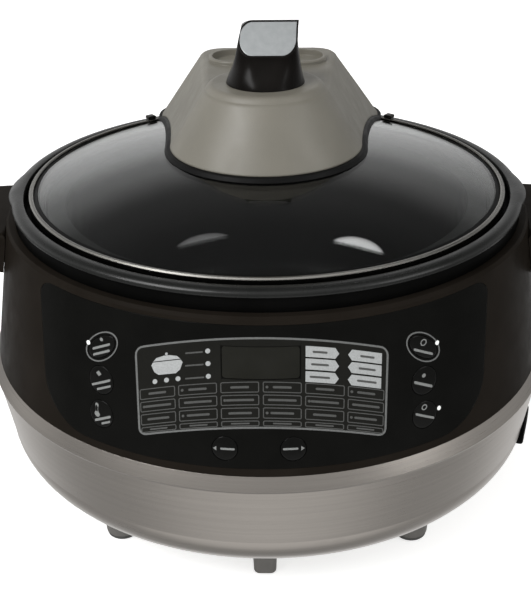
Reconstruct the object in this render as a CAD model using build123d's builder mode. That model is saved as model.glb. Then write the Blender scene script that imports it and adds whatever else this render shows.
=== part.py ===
"""Round electric multicooker with a hinged glass lid, as separate pieces.

Millimetres. +Z is up, the front is -Y, and the origin is on the pot axis at the
surface that the feet stand on.
"""
from build123d import *
from math import cos, radians, sin, sqrt
import os

# ---------------------------------------------------------------- driving sizes
LID_RADIUS = 141.0            # steel rim of the glass lid, about 28 cm across
RIM_BOTTOM_Z = 182.6          # glass edge channel of the lid
RIM_TOP_Z = 188.7
DOME_TOP_Z = 210.5            # crown of the glass
DOME_EDGE_Z = 186.2           # upper face of the glass at the lid radius
GLASS_THICKNESS = 4.0

BASE_Z = 24.0                 # underside of the steel shell
BASE_FILLET = 23.5
SHELL_FOOT_RADIUS = 167.2     # steel wall where the bottom curve starts
SHELL_SHOULDER_RADIUS = 173.5
SHELL_SHOULDER_Z = 85.5
SHELL_TOP_RADIUS = 169.3
SHELL_TOP_Z = 92.0
SHEET = 1.2                   # steel sheet
SHELL_LIP_RADIUS = 136.0      # inner edge of the sheet under the base

HOUSING_BOTTOM_Z = 92.2       # dark upper housing, a truncated cone
HOUSING_TOP_Z = 175.0
HOUSING_BOTTOM_RADIUS = 169.5
HOUSING_TOP_RADIUS = 155.2
WALL = 3.0                    # moulded wall

COLLAR_TOP_Z = 187.0
COLLAR_INNER_RADIUS = 144.0
COLLAR_OUTER_RADIUS = 151.2

POT_RADIUS = 122.0            # outside of the inner pot
POT_BOTTOM_Z = 60.0
POT_RIM_Z = 177.0
POT_WALL = 2.0

COVER_TOP_Z = 243.0           # flat on top of the lid cover
KNOB_SEAT_Z = 246.0           # round boss on the cover, under the knob
KNOB_TOP_Z = 280.5

HINGE_Y = 160.0
HINGE_Z = 186.0
HINGE_PIN_RADIUS = 2.5
KNUCKLE_RADIUS = 7.0
RUNNING_GAP = 0.05            # radial clearance of a shaft in its hole
KEY_TRAVEL = 0.8
SEAM = 0.15                   # joint line between fixed mouldings

CONE_SLOPE = (HOUSING_BOTTOM_RADIUS - HOUSING_TOP_RADIUS) / (HOUSING_TOP_Z - HOUSING_BOTTOM_Z)
DOME_RISE = DOME_TOP_Z - DOME_EDGE_Z
DOME_CURVE = (LID_RADIUS**2 + DOME_RISE**2) / (2 * DOME_RISE)

pieces = {}


# ---------------------------------------------------------------- helpers
def cone_radius(z):
    """Outside radius of the upper housing at height z."""
    return HOUSING_BOTTOM_RADIUS - CONE_SLOPE * (z - HOUSING_BOTTOM_Z)


def dome_z(radius, lift=0.0):
    """Height of the glass dome's upper face at a radius."""
    curve = DOME_CURVE + lift
    return DOME_TOP_Z - DOME_CURVE + sqrt(curve**2 - radius**2)


def front_plane(x, z):
    """Plane on the front of the housing at (x, z), facing outwards."""
    radius = cone_radius(z)
    y = -sqrt(radius**2 - x**2)
    return Plane(origin=(x, y, z), x_dir=(-y, x, 0), z_dir=(x, y, CONE_SLOPE * radius))


def side_plane(angle, radius, z):
    """Upright plane facing outwards at an angle round the axis."""
    a = radians(angle)
    return Plane(
        origin=(radius * cos(a), radius * sin(a), z),
        x_dir=(-sin(a), cos(a), 0),
        z_dir=(cos(a), sin(a), 0),
    )


def ring(*points):
    """Solid of revolution about Z from (radius, z) corners."""
    with BuildPart() as turned:
        with BuildSketch(Plane.XZ):
            with BuildLine():
                Polyline(*points, close=True)
            make_face()
        revolve(axis=Axis.Z)
    return turned


def cone_band(outer_offset, inner_offset, low, high):
    """Band that follows the housing cone, between two offsets from its outside."""
    return ring(
        (cone_radius(low) + inner_offset, low),
        (cone_radius(low) + outer_offset, low),
        (cone_radius(high) + outer_offset, high),
        (cone_radius(high) + inner_offset, high),
    )


def dome_cap(radius, low_lift, high_lift):
    """Shell between two surfaces parallel to the glass dome, out to a radius."""
    centre_z = DOME_TOP_Z - DOME_CURVE
    with BuildPart() as cap:
        with BuildSketch(Plane.XZ):
            with BuildLine():
                low_mid = dome_z(radius / 2, low_lift)
                high_mid = dome_z(radius / 2, high_lift)
                ThreePointArc(
                    (0, centre_z + DOME_CURVE + low_lift),
                    (radius / 2, low_mid),
                    (radius, dome_z(radius, low_lift)),
                )
                Line((radius, dome_z(radius, low_lift)), (radius, dome_z(radius, high_lift)))
                ThreePointArc(
                    (radius, dome_z(radius, high_lift)),
                    (radius / 2, high_mid),
                    (0, centre_z + DOME_CURVE + high_lift),
                )
                Line(
                    (0, centre_z + DOME_CURVE + high_lift),
                    (0, centre_z + DOME_CURVE + low_lift),
                )
            make_face()
        revolve(axis=Axis.Z)
    return cap


# ---------------------------------------------------------------- lower casing
INLET_ANGLE = -17.5           # power inlet, on the right side a little to the front
INLET_Z = 42.5
INLET_FACE_RADIUS = 169.0
INLET_WIDTH = 32.0
INLET_HEIGHT = 15.0
INLET_CORNER = 7.0
INLET_LENGTH = 22.0
BODY_GAP = 0.3                # clearance round a body that fills a hole in the sheet
inlet_plane = side_plane(INLET_ANGLE, INLET_FACE_RADIUS, INLET_Z)

with BuildPart() as steel_shell:
    wall_low_z = BASE_Z + BASE_FILLET
    lip_radius = SHELL_FOOT_RADIUS - BASE_FILLET
    with BuildSketch(Plane.XZ):
        with BuildLine():
            Polyline(
                (SHELL_TOP_RADIUS, SHELL_TOP_Z),
                (SHELL_SHOULDER_RADIUS, SHELL_SHOULDER_Z),
                (SHELL_SHOULDER_RADIUS - 0.7, SHELL_SHOULDER_Z - 1.4),
                (SHELL_FOOT_RADIUS, wall_low_z),
            )
            RadiusArc(
                (SHELL_FOOT_RADIUS, wall_low_z),
                (lip_radius, BASE_Z),
                BASE_FILLET,
            )
            Line((lip_radius, BASE_Z), (SHELL_LIP_RADIUS, BASE_Z))
            Line((SHELL_LIP_RADIUS, BASE_Z), (SHELL_LIP_RADIUS, BASE_Z + SHEET))
            Line((SHELL_LIP_RADIUS, BASE_Z + SHEET), (lip_radius, BASE_Z + SHEET))
            RadiusArc(
                (lip_radius, BASE_Z + SHEET),
                (SHELL_FOOT_RADIUS - SHEET, wall_low_z),
                -(BASE_FILLET - SHEET),
            )
            Polyline(
                (SHELL_FOOT_RADIUS - SHEET, wall_low_z),
                (SHELL_SHOULDER_RADIUS - 0.7 - SHEET, SHELL_SHOULDER_Z - 1.4),
                (SHELL_SHOULDER_RADIUS - 1.4, SHELL_SHOULDER_Z - 0.3),
                (SHELL_TOP_RADIUS - SHEET, SHELL_TOP_Z),
                (SHELL_TOP_RADIUS, SHELL_TOP_Z),
            )
        make_face()
    revolve(axis=Axis.Z)
    with BuildSketch(inlet_plane.offset(2)):
        RectangleRounded(
            INLET_WIDTH + 2 * BODY_GAP,
            INLET_HEIGHT + 2 * BODY_GAP,
            INLET_CORNER + BODY_GAP,
        )
    extrude(amount=-30, mode=Mode.SUBTRACT)
pieces["steel_shell"] = steel_shell

BASE_PLATE_BOTTOM = 20.5
BASE_PLATE_TOP = BASE_Z - 0.1
MAIN_FEET = [(86, -101), (-86, -101), (86, 101), (-86, 101)]
CENTRE_FEET = [(0, -132.5), (0, 132.5)]
FOOT_RADIUS = 10.0
PAD_HEIGHT = 3.0
BASE_PLATE_RADIUS = 145.0
RIB_CIRCLE = 145.5            # middle of the small ribs beside each centre foot
RIB_PITCH = 2.4               # degrees between the two ribs of a pair
RIB_ANGLES = (-97.35, -85.05, 82.65, 94.95)

with BuildPart() as base_plate:
    with BuildSketch(Plane.XY.offset(BASE_PLATE_BOTTOM)):
        Circle(BASE_PLATE_RADIUS)
    extrude(amount=BASE_PLATE_TOP - BASE_PLATE_BOTTOM)
    fillet(base_plate.faces().sort_by(Axis.Z)[0].edges(), 1.5)
    # cooling slots in three rows round the middle
    for slot_ring, count in ((46, 10), (68, 16), (110, 24)):
        with BuildSketch(Plane.XY.offset(BASE_PLATE_BOTTOM)):
            with PolarLocations(slot_ring, count):
                SlotOverall(15, 3)
        extrude(amount=5, mode=Mode.SUBTRACT)
    # small ribs that stand out of the edge
    with BuildSketch(Plane.XY.offset(BASE_PLATE_BOTTOM)):
        for first_angle in RIB_ANGLES:
            with PolarLocations(RIB_CIRCLE, 2, first_angle, RIB_PITCH, endpoint=True):
                Rectangle(6, 1.6)
    extrude(amount=BASE_PLATE_TOP - BASE_PLATE_BOTTOM)
pieces["base_plate"] = base_plate

with BuildPart() as main_feet:
    with BuildSketch(Plane.XY.offset(PAD_HEIGHT)):
        with Locations(*MAIN_FEET):
            Circle(FOOT_RADIUS)
    extrude(amount=BASE_PLATE_BOTTOM - PAD_HEIGHT, taper=-3)
pieces["main_feet"] = main_feet

with BuildPart() as foot_pads:
    with BuildSketch():
        with Locations(*MAIN_FEET):
            Circle(FOOT_RADIUS - 0.5)
    extrude(amount=PAD_HEIGHT)
    fillet(foot_pads.edges().group_by(Axis.Z)[0], 1.2)
pieces["foot_pads"] = foot_pads

with BuildPart() as centre_feet:
    with BuildSketch():
        with Locations(*CENTRE_FEET):
            RectangleRounded(12.8, 13, 3.5)
    extrude(amount=BASE_PLATE_BOTTOM, taper=-2)
    fillet(centre_feet.edges().group_by(Axis.Z)[0], 1.5)
pieces["centre_feet"] = centre_feet

BASE_SCREW_CIRCLE = 139.5
with BuildPart() as base_screws:
    with BuildSketch(Plane.XY.offset(BASE_PLATE_BOTTOM - 1.8)):
        with PolarLocations(BASE_SCREW_CIRCLE, 6):
            Circle(3.4)
    extrude(amount=1.8)
    fillet(base_screws.edges().group_by(Axis.Z)[0], 0.8)
pieces["base_screws"] = base_screws

# ---------------------------------------------------------------- upper housing
PANEL_HALF_WIDTH = 117.0
PANEL_BOTTOM_Z = 96.5
PANEL_TOP_Z = 171.0
PANEL_TOP_CORNER = 9.0
PANEL_BOTTOM_CORNER = 24.0
PANEL_MID_Z = (PANEL_BOTTOM_Z + PANEL_TOP_Z) / 2
PANEL_HEIGHT = PANEL_TOP_Z - PANEL_BOTTOM_Z
FRONT = Plane.XZ.offset(60)   # sketches here look at the front, in X and Z
FRONT_DEPTH = 130


def panel_outline(grow):
    """Front outline of the panel, grown all round by an amount."""
    with BuildSketch(FRONT) as outline:
        with Locations((0, PANEL_MID_Z)):
            Rectangle(2 * (PANEL_HALF_WIDTH + grow), PANEL_HEIGHT + 2 * grow)
        fillet(outline.vertices().group_by(Axis.Y)[0], PANEL_BOTTOM_CORNER)
        fillet(outline.vertices().group_by(Axis.Y)[-1], PANEL_TOP_CORNER)
    return outline.sketch


HANDLE_SCREW_Z = 152.0
HANDLE_SCREW_ANGLES = [-9, 9, 171, 189]

with BuildPart() as upper_housing:
    with BuildSketch(Plane.XZ):
        with BuildLine():
            Polyline(
                (HOUSING_BOTTOM_RADIUS, HOUSING_BOTTOM_Z),
                (HOUSING_TOP_RADIUS + 0.3, HOUSING_TOP_Z - 1.8),
                (HOUSING_TOP_RADIUS - 1.2, HOUSING_TOP_Z),
                (150.1, HOUSING_TOP_Z),
                (150.1, HOUSING_TOP_Z - WALL),
                (cone_radius(HOUSING_TOP_Z - WALL) - WALL, HOUSING_TOP_Z - WALL),
                (HOUSING_BOTTOM_RADIUS - WALL, HOUSING_BOTTOM_Z),
                (HOUSING_BOTTOM_RADIUS - WALL, 86),
                (HOUSING_BOTTOM_RADIUS - WALL + 1.5, 86),
                (HOUSING_BOTTOM_RADIUS - WALL + 1.5, HOUSING_BOTTOM_Z),
                close=True,
            )
        make_face()
    revolve(axis=Axis.Z)
    extrude(panel_outline(SEAM), amount=FRONT_DEPTH, mode=Mode.SUBTRACT)
    for angle in HANDLE_SCREW_ANGLES:
        with BuildSketch(side_plane(angle, 140, HANDLE_SCREW_Z)):
            Circle(2.1)
        extrude(amount=30, mode=Mode.SUBTRACT)
pieces["upper_housing"] = upper_housing

SKIRT_RADIUS = 149.8
WELL_LOW_Z = 168.0
POT_SEAT_RADIUS = 131.5       # step that the pot rim drops into
RIM_FLOOR_Z = 179.2
POT_LEDGE_Z = 175.0
COLLAR_LOW_Z = 183.4
well_rim = ring(
    (124.5, POT_LEDGE_Z - WALL),
    (COLLAR_INNER_RADIUS, POT_LEDGE_Z - WALL),
    (COLLAR_INNER_RADIUS, WELL_LOW_Z),
    (SKIRT_RADIUS, WELL_LOW_Z),
    (SKIRT_RADIUS, COLLAR_LOW_Z - 0.1),
    (COLLAR_INNER_RADIUS + 0.2, COLLAR_LOW_Z - 0.1),
    (COLLAR_INNER_RADIUS + 0.2, RIM_FLOOR_Z),
    (POT_SEAT_RADIUS, RIM_FLOOR_Z),
    (POT_SEAT_RADIUS, POT_LEDGE_Z),
    (124.5, POT_LEDGE_Z),
)
pieces["well_rim"] = well_rim

EAR_RADIUS = 153.4            # the collar swells out a little beside each handle
EAR_LENGTH = 100.0
EAR_Y = -8.0
with BuildPart() as collar_ring:
    with BuildSketch(Plane.XY.offset(COLLAR_LOW_Z)):
        Circle(COLLAR_OUTER_RADIUS)
        with Locations((0, EAR_Y)):
            Ellipse(EAR_RADIUS, EAR_LENGTH)
        Circle(COLLAR_INNER_RADIUS, mode=Mode.SUBTRACT)
    extrude(amount=COLLAR_TOP_Z - COLLAR_LOW_Z)
    fillet(collar_ring.faces().sort_by(Axis.Z)[-1].edges(), 0.9)
pieces["collar_ring"] = collar_ring

# ---------------------------------------------------------------- carrying handles
HANDLE_TIP = 200.0
HANDLE_TOP_Z = 168.0
HANDLE_BOTTOM_Z = 144.0
HANDLE_ROOT = 151.0
HANDLE_HALF_WIDTH = 40.0
FINGER_LOW_X = 166.0
FINGER_HIGH_X = 191.0
FINGER_HALF_WIDTH = 29.0

for side, sign in (("right", 1), ("left", -1)):
    with BuildPart() as handle:
        with BuildSketch(Plane.XY.offset(HANDLE_BOTTOM_Z)):
            with BuildLine():
                Polyline(
                    (sign * HANDLE_ROOT, -HANDLE_HALF_WIDTH - 3),
                    (sign * HANDLE_TIP, -HANDLE_HALF_WIDTH + 4),
                    (sign * HANDLE_TIP, HANDLE_HALF_WIDTH - 4),
                    (sign * HANDLE_ROOT, HANDLE_HALF_WIDTH + 3),
                    close=True,
                )
            make_face()
        extrude(amount=HANDLE_TOP_Z - HANDLE_BOTTOM_Z)
        tip_edges = handle.edges().filter_by(Axis.Z).sort_by(Axis.X)
        fillet(tip_edges[-2:] if sign > 0 else tip_edges[:2], 16)
        fillet(handle.faces().sort_by(Axis.Z)[-1].edges(), 3.5)
        with BuildSketch(Plane.XY.offset(HANDLE_BOTTOM_Z - 1)):
            with Locations((sign * (FINGER_LOW_X + FINGER_HIGH_X) / 2, 0)):
                RectangleRounded(FINGER_HIGH_X - FINGER_LOW_X, 2 * FINGER_HALF_WIDTH, 6)
        extrude(amount=HANDLE_TOP_Z - 4.5 - HANDLE_BOTTOM_Z + 1, mode=Mode.SUBTRACT)
        with BuildSketch(Plane.XZ):
            with BuildLine():
                Polyline(
                    (0, HANDLE_BOTTOM_Z - 10),
                    (cone_radius(HANDLE_BOTTOM_Z - 10) + 0.2, HANDLE_BOTTOM_Z - 10),
                    (cone_radius(HANDLE_TOP_Z + 10) + 0.2, HANDLE_TOP_Z + 10),
                    (0, HANDLE_TOP_Z + 10),
                    close=True,
                )
            make_face()
        revolve(axis=Axis.Z, mode=Mode.SUBTRACT)
        for angle in HANDLE_SCREW_ANGLES:
            with BuildSketch(side_plane(angle, 140, HANDLE_SCREW_Z)):
                Circle(1.9)
            extrude(amount=24, mode=Mode.SUBTRACT)
    pieces[f"{side}_handle"] = handle

with BuildPart() as handle_screws:
    for angle in HANDLE_SCREW_ANGLES:
        with BuildSketch(side_plane(angle, 150.5, HANDLE_SCREW_Z)):
            Circle(3.6)
        extrude(amount=3)
        with BuildSketch(side_plane(angle, 150.5, HANDLE_SCREW_Z)):
            Circle(1.8)
        extrude(amount=12.5)
pieces["handle_screws"] = handle_screws

# ---------------------------------------------------------------- control panel
WINDOW_X = 0.0
WINDOW_Z = 152.2
WINDOW_WIDTH = 38.0
WINDOW_HEIGHT = 16.5
CARRIER_FRONT = -3.2
CARRIER_BACK = -5.4

# centre (x, z), two half-axes and tilt in degrees of each key
KEYS = {
    "key_cancel": (-80.7, 149.0, 9.55, 4.96, 38.4),
    "key_time": (-82.0, 131.0, 7.6, 7.6, 0),
    "key_temperature": (-83.0, 112.5, 7.4, 7.4, 0),
    "key_start": (80.7, 149.0, 9.55, 4.96, -38.4),
    "key_menu": (82.0, 131.0, 7.6, 7.6, 0),
    "key_hold": (83.0, 112.5, 7.4, 7.4, 0),
    "key_minus": (-18.3, 107.0, 6.4, 6.4, 0),
    "key_plus": (15.8, 107.0, 6.4, 6.4, 0),
}
KEY_PROUD = 0.2
KEY_CAP = 2.4
KEY_GAP = 0.3
STEM_RADIUS = 2.4
STEM_END = -9.0               # below the housing surface
LIGHTS = [(-88.2, 148.8), (88.2, 148.8), (90.8, 113.3)]
LIGHT_RADIUS = 1.2


def window_outline(shrink):
    """Front outline of the display window."""
    with BuildSketch(FRONT) as outline:
        with Locations((WINDOW_X, WINDOW_Z)):
            RectangleRounded(WINDOW_WIDTH - 2 * shrink, WINDOW_HEIGHT - 2 * shrink, 1.5)
    return outline.sketch


def key_outline(key, lift, grow=0.0):
    """Outline of a key cap on its own plane, grown all round by an amount."""
    x, z, long, short, tilt = KEYS[key]
    with BuildSketch(front_plane(x, z).offset(lift)) as outline:
        if long == short:
            Circle(long + grow)
        else:
            Ellipse(long + grow, short + grow, rotation=tilt)
    return outline.sketch


panel_band = cone_band(0, -WALL, PANEL_BOTTOM_Z - 4, HOUSING_TOP_Z - 1)
with BuildPart() as control_panel:
    add(panel_band.part)
    extrude(panel_outline(0), amount=FRONT_DEPTH, mode=Mode.INTERSECT)
    extrude(window_outline(0), amount=FRONT_DEPTH, mode=Mode.SUBTRACT)
    for key in KEYS:
        extrude(key_outline(key, 3, KEY_GAP), amount=-9, mode=Mode.SUBTRACT)
    for x, z in LIGHTS:
        with BuildSketch(front_plane(x, z).offset(3)):
            Circle(LIGHT_RADIUS + RUNNING_GAP)
        extrude(amount=-9, mode=Mode.SUBTRACT)
pieces["control_panel"] = control_panel

window_band = cone_band(-0.1, -WALL, WINDOW_Z - 20, WINDOW_Z + 20)
with BuildPart() as display_window:
    add(window_band.part)
    extrude(window_outline(SEAM), amount=FRONT_DEPTH, mode=Mode.INTERSECT)
pieces["display_window"] = display_window

carrier_band = cone_band(CARRIER_FRONT, CARRIER_BACK, HOUSING_BOTTOM_Z, HOUSING_TOP_Z - 3.4)
with BuildPart() as panel_carrier:
    add(carrier_band.part)
    with BuildSketch(FRONT):
        with Locations((0, PANEL_MID_Z)):
            RectangleRounded(2 * PANEL_HALF_WIDTH + 8, PANEL_HEIGHT + 3, 8)
    extrude(amount=FRONT_DEPTH, mode=Mode.INTERSECT)
    with BuildSketch(FRONT):
        with Locations((WINDOW_X, WINDOW_Z)):
            Rectangle(WINDOW_WIDTH - 4, WINDOW_HEIGHT - 4)
    extrude(amount=FRONT_DEPTH, mode=Mode.SUBTRACT)
    for x, z, *_ in KEYS.values():
        with BuildSketch(front_plane(x, z).offset(3)):
            Circle(STEM_RADIUS + KEY_GAP)
        extrude(amount=-12, mode=Mode.SUBTRACT)
pieces["panel_carrier"] = panel_carrier

for name, (x, z, *_) in KEYS.items():
    with BuildPart() as key:
        extrude(key_outline(name, KEY_PROUD), amount=-KEY_CAP)
        with BuildSketch(front_plane(x, z).offset(KEY_PROUD)):
            Circle(STEM_RADIUS)
        extrude(amount=STEM_END - KEY_PROUD)
    pieces[name] = key

with BuildPart() as indicator_lights:
    for x, z in LIGHTS:
        with BuildSketch(front_plane(x, z).offset(0.1)):
            Circle(LIGHT_RADIUS)
        extrude(amount=-2.9)
pieces["indicator_lights"] = indicator_lights

SWITCH_FRONT = STEM_END - KEY_TRAVEL - 0.2
SWITCH_HEIGHT = 2.5
BOARD = 1.6
SIDE_BOARD_X = 82.0
SIDE_BOARD_Z = 131.0
side_board_planes = [
    front_plane(sign * SIDE_BOARD_X, SIDE_BOARD_Z).offset(-15) for sign in (-1, 1)
]

with BuildPart() as key_switches:
    for x, z, *_ in KEYS.values():
        with BuildSketch(front_plane(x, z).offset(SWITCH_FRONT)):
            RectangleRounded(6, 6, 0.6)
        extrude(amount=-SWITCH_HEIGHT)
pieces["key_switches"] = key_switches

with BuildPart() as side_key_boards:
    for plane in side_board_planes:
        with BuildSketch(plane):
            RectangleRounded(24, 56, 2)
        extrude(amount=-BOARD)
pieces["side_key_boards"] = side_key_boards

BOARD_Y = -137.0
CONTROL_BOARD_Z = 136.0
with BuildPart() as control_board:
    with BuildSketch(Plane.XZ.offset(-BOARD_Y)):
        with Locations((0, CONTROL_BOARD_Z)):
            RectangleRounded(112, 58, 2)
    extrude(amount=BOARD)
pieces["control_board"] = control_board

with BuildPart() as display_module:
    with BuildSketch(Plane.XZ.offset(-BOARD_Y + BOARD + 0.1)):
        with Locations((WINDOW_X, WINDOW_Z)):
            Rectangle(WINDOW_WIDTH + 6, WINDOW_HEIGHT + 4)
    extrude(amount=10)
pieces["display_module"] = display_module

# ---------------------------------------------------------------- pot and heater
SHIELD_RADIUS = 127.2
SHIELD_FLOOR_Z = 38.0
SHIELD_OPENING = 80.0
heat_shield = ring(
    (SHIELD_OPENING, SHIELD_FLOOR_Z),
    (SHIELD_RADIUS, SHIELD_FLOOR_Z),
    (SHIELD_RADIUS, POT_LEDGE_Z - WALL - 0.1),
    (SHIELD_RADIUS - 1.2, POT_LEDGE_Z - WALL - 0.1),
    (SHIELD_RADIUS - 1.2, SHIELD_FLOOR_Z + 1.2),
    (SHIELD_OPENING, SHIELD_FLOOR_Z + 1.2),
)
pieces["heat_shield"] = heat_shield

POT_CORNER = 22.0
with BuildPart() as inner_pot:
    with BuildSketch(Plane.XZ):
        with BuildLine():
            inside = POT_RADIUS - POT_WALL
            Polyline(
                (0, POT_BOTTOM_Z),
                (POT_RADIUS - POT_CORNER, POT_BOTTOM_Z),
            )
            RadiusArc(
                (POT_RADIUS - POT_CORNER, POT_BOTTOM_Z),
                (POT_RADIUS, POT_BOTTOM_Z + POT_CORNER),
                -POT_CORNER,
            )
            Polyline(
                (POT_RADIUS, POT_BOTTOM_Z + POT_CORNER),
                (POT_RADIUS, POT_RIM_Z - 1.9),
                (130.5, POT_RIM_Z - 1.9),
                (130.5, POT_RIM_Z),
                (inside, POT_RIM_Z),
                (inside, POT_BOTTOM_Z + POT_CORNER),
            )
            RadiusArc(
                (inside, POT_BOTTOM_Z + POT_CORNER),
                (POT_RADIUS - POT_CORNER, POT_BOTTOM_Z + POT_WALL),
                POT_CORNER - POT_WALL,
            )
            Polyline(
                (POT_RADIUS - POT_CORNER, POT_BOTTOM_Z + POT_WALL),
                (0, POT_BOTTOM_Z + POT_WALL),
                (0, POT_BOTTOM_Z),
            )
        make_face()
    revolve(axis=Axis.Z)
pieces["inner_pot"] = inner_pot

PLATE_RADIUS = 92.0
PLATE_BOTTOM_Z = 50.0
SENSOR_HOLE = 14.0
heating_plate = ring(
    (SENSOR_HOLE, PLATE_BOTTOM_Z),
    (PLATE_RADIUS - 3, PLATE_BOTTOM_Z),
    (PLATE_RADIUS, PLATE_BOTTOM_Z + 3),
    (PLATE_RADIUS, POT_BOTTOM_Z - 0.1),
    (SENSOR_HOLE, POT_BOTTOM_Z - 0.1),
)
pieces["heating_plate"] = heating_plate

ELEMENT_RADIUS = 62.0
ELEMENT_TUBE = 4.0
ELEMENT_Z = PLATE_BOTTOM_Z - ELEMENT_TUBE - 0.1
with BuildPart() as heating_element:
    with BuildLine():
        sweep_path = CenterArc((0, 0, ELEMENT_Z), ELEMENT_RADIUS, 20, 320)
    with BuildSketch(Plane(sweep_path @ 0, z_dir=sweep_path % 0)):
        Circle(ELEMENT_TUBE)
    sweep(path=sweep_path)
pieces["heating_element"] = heating_element

with BuildPart() as plate_posts:
    with BuildSketch(Plane.XY.offset(SHIELD_FLOOR_Z + 1.3)):
        with PolarLocations(85.5, 3, start_angle=30):
            Circle(3.5)
    extrude(amount=PLATE_BOTTOM_Z - SHIELD_FLOOR_Z - 1.4)
pieces["plate_posts"] = plate_posts

with BuildPart() as shield_posts:
    with BuildSketch(Plane.XY.offset(BASE_Z)):
        with PolarLocations(122, 4, start_angle=45):
            Circle(4.5)
    extrude(amount=SHIELD_FLOOR_Z - BASE_Z - 0.1)
pieces["shield_posts"] = shield_posts

SENSOR_STEM = 4.0
SENSOR_CAP = 11.0
BRACKET_TOP = 37.9
TUBE_TOP = 45.0
with BuildPart() as sensor_bracket:
    with BuildSketch(Plane.XY.offset(BRACKET_TOP - 2)):
        RectangleRounded(180, 22, 4)
    extrude(amount=2)
    with BuildSketch(Plane.XY.offset(BRACKET_TOP - 2)):
        Circle(7)
    extrude(amount=TUBE_TOP - BRACKET_TOP + 2)
    with BuildSketch(Plane.XY.offset(BRACKET_TOP - 3)):
        Circle(SENSOR_STEM + RUNNING_GAP)
    extrude(amount=20, mode=Mode.SUBTRACT)
pieces["sensor_bracket"] = sensor_bracket

CAP_BOTTOM = 54.0
with BuildPart() as pot_sensor:
    with BuildSketch(Plane.XY.offset(CAP_BOTTOM)):
        Circle(SENSOR_CAP)
    extrude(amount=POT_BOTTOM_Z - 0.1 - CAP_BOTTOM)
    fillet(pot_sensor.edges().group_by(Axis.Z)[-1], 1)
    with BuildSketch(Plane.XY.offset(32)):
        Circle(SENSOR_STEM)
    extrude(amount=CAP_BOTTOM - 32)
pieces["pot_sensor"] = pot_sensor

SPRING_WIRE = 0.8
SPRING_RADIUS = 8.6
with BuildPart() as sensor_spring:
    spring_low = BRACKET_TOP + SPRING_WIRE + 0.1
    spring_high = CAP_BOTTOM - SPRING_WIRE - 0.1
    with BuildLine():
        coil = Helix(
            pitch=(spring_high - spring_low) / 4,
            height=spring_high - spring_low,
            radius=SPRING_RADIUS,
            center=(0, 0, spring_low),
        )
    with BuildSketch(Plane(coil @ 0, z_dir=coil % 0)):
        Circle(SPRING_WIRE)
    sweep(path=coil, is_frenet=True)
pieces["sensor_spring"] = sensor_spring

with BuildPart() as thermal_fuse:
    with BuildSketch(side_plane(60, SHIELD_RADIUS + 0.1, 90)):
        RectangleRounded(12, 26, 3)
    extrude(amount=6)
pieces["thermal_fuse"] = thermal_fuse

# ---------------------------------------------------------------- electrics
POWER_ANGLE = 30.0
power_plane = side_plane(POWER_ANGLE, 150, 68)
with BuildPart() as power_board:
    with BuildSketch(power_plane):
        RectangleRounded(90, 52, 2)
    extrude(amount=BOARD)
pieces["power_board"] = power_board

inner_side = power_plane.offset(-0.1)
with BuildPart() as transformer:
    with BuildSketch(inner_side):
        with Locations((-26, -8)):
            RectangleRounded(26, 28, 2)
    extrude(amount=-18)
pieces["transformer"] = transformer

with BuildPart() as relay:
    with BuildSketch(inner_side):
        with Locations((6, -12)):
            Rectangle(18, 14)
    extrude(amount=-14)
pieces["relay"] = relay

with BuildPart() as capacitors:
    with BuildSketch(inner_side):
        with Locations((30, -10), (30, 8), (8, 12)):
            Circle(6)
    extrude(amount=-16)
pieces["capacitors"] = capacitors

SOCKET_FLOOR = 17.0           # depth of the socket behind the inlet's face
PIN_FRONT = 7.0
PINS = [(-6, 0), (6, 0), (0, 1.5)]
with BuildPart() as power_inlet:
    with BuildSketch(inlet_plane):
        RectangleRounded(INLET_WIDTH, INLET_HEIGHT, INLET_CORNER)
    extrude(amount=-INLET_LENGTH)
    outward = Axis((0, 0, INLET_Z), inlet_plane.z_dir)
    fillet(power_inlet.faces().sort_by(outward)[-1].edges(), 1.8)
    with BuildSketch(inlet_plane.offset(1)):
        RectangleRounded(22, 10.5, 3.5)
    extrude(amount=-SOCKET_FLOOR - 1, mode=Mode.SUBTRACT)
    with BuildSketch(inlet_plane):
        with Locations(*PINS):
            Rectangle(2.1, 4.1)
    extrude(amount=-INLET_LENGTH - 5, mode=Mode.SUBTRACT)
pieces["power_inlet"] = power_inlet

with BuildPart() as inlet_pins:
    with BuildSketch(inlet_plane.offset(-PIN_FRONT)):
        with Locations(*PINS):
            Rectangle(2, 4)
    extrude(amount=-23)
pieces["inlet_pins"] = inlet_pins

LEAD_RADIUS = 2.5
LEAD_CIRCLE = 140.0
with BuildPart() as supply_lead:
    with BuildLine():
        lead_path = CenterArc((0, 0, 34), LEAD_CIRCLE, INLET_ANGLE + 12, 80)
    with BuildSketch(Plane(lead_path @ 0, z_dir=lead_path % 0)):
        Circle(LEAD_RADIUS)
    sweep(path=lead_path)
pieces["supply_lead"] = supply_lead

with BuildPart() as control_lead:
    with BuildLine():
        ribbon_path = CenterArc((0, 0, 104), 144, -62, 100)
    with BuildSketch(Plane(ribbon_path @ 0, z_dir=ribbon_path % 0)):
        Circle(LEAD_RADIUS)
    sweep(path=ribbon_path)
pieces["control_lead"] = control_lead

# ---------------------------------------------------------------- glass lid
STEAM_HOLE_Y = 64.0
dome_shell = dome_cap(LID_RADIUS - 1.2, -GLASS_THICKNESS, 0)
with BuildPart() as lid_glass:
    add(dome_shell.part)
    with BuildSketch(Plane.XY.offset(180)):
        Circle(3.2)
        with Locations((0, STEAM_HOLE_Y)):
            Circle(6)
    extrude(amount=40, mode=Mode.SUBTRACT)
pieces["lid_glass"] = lid_glass

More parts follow.
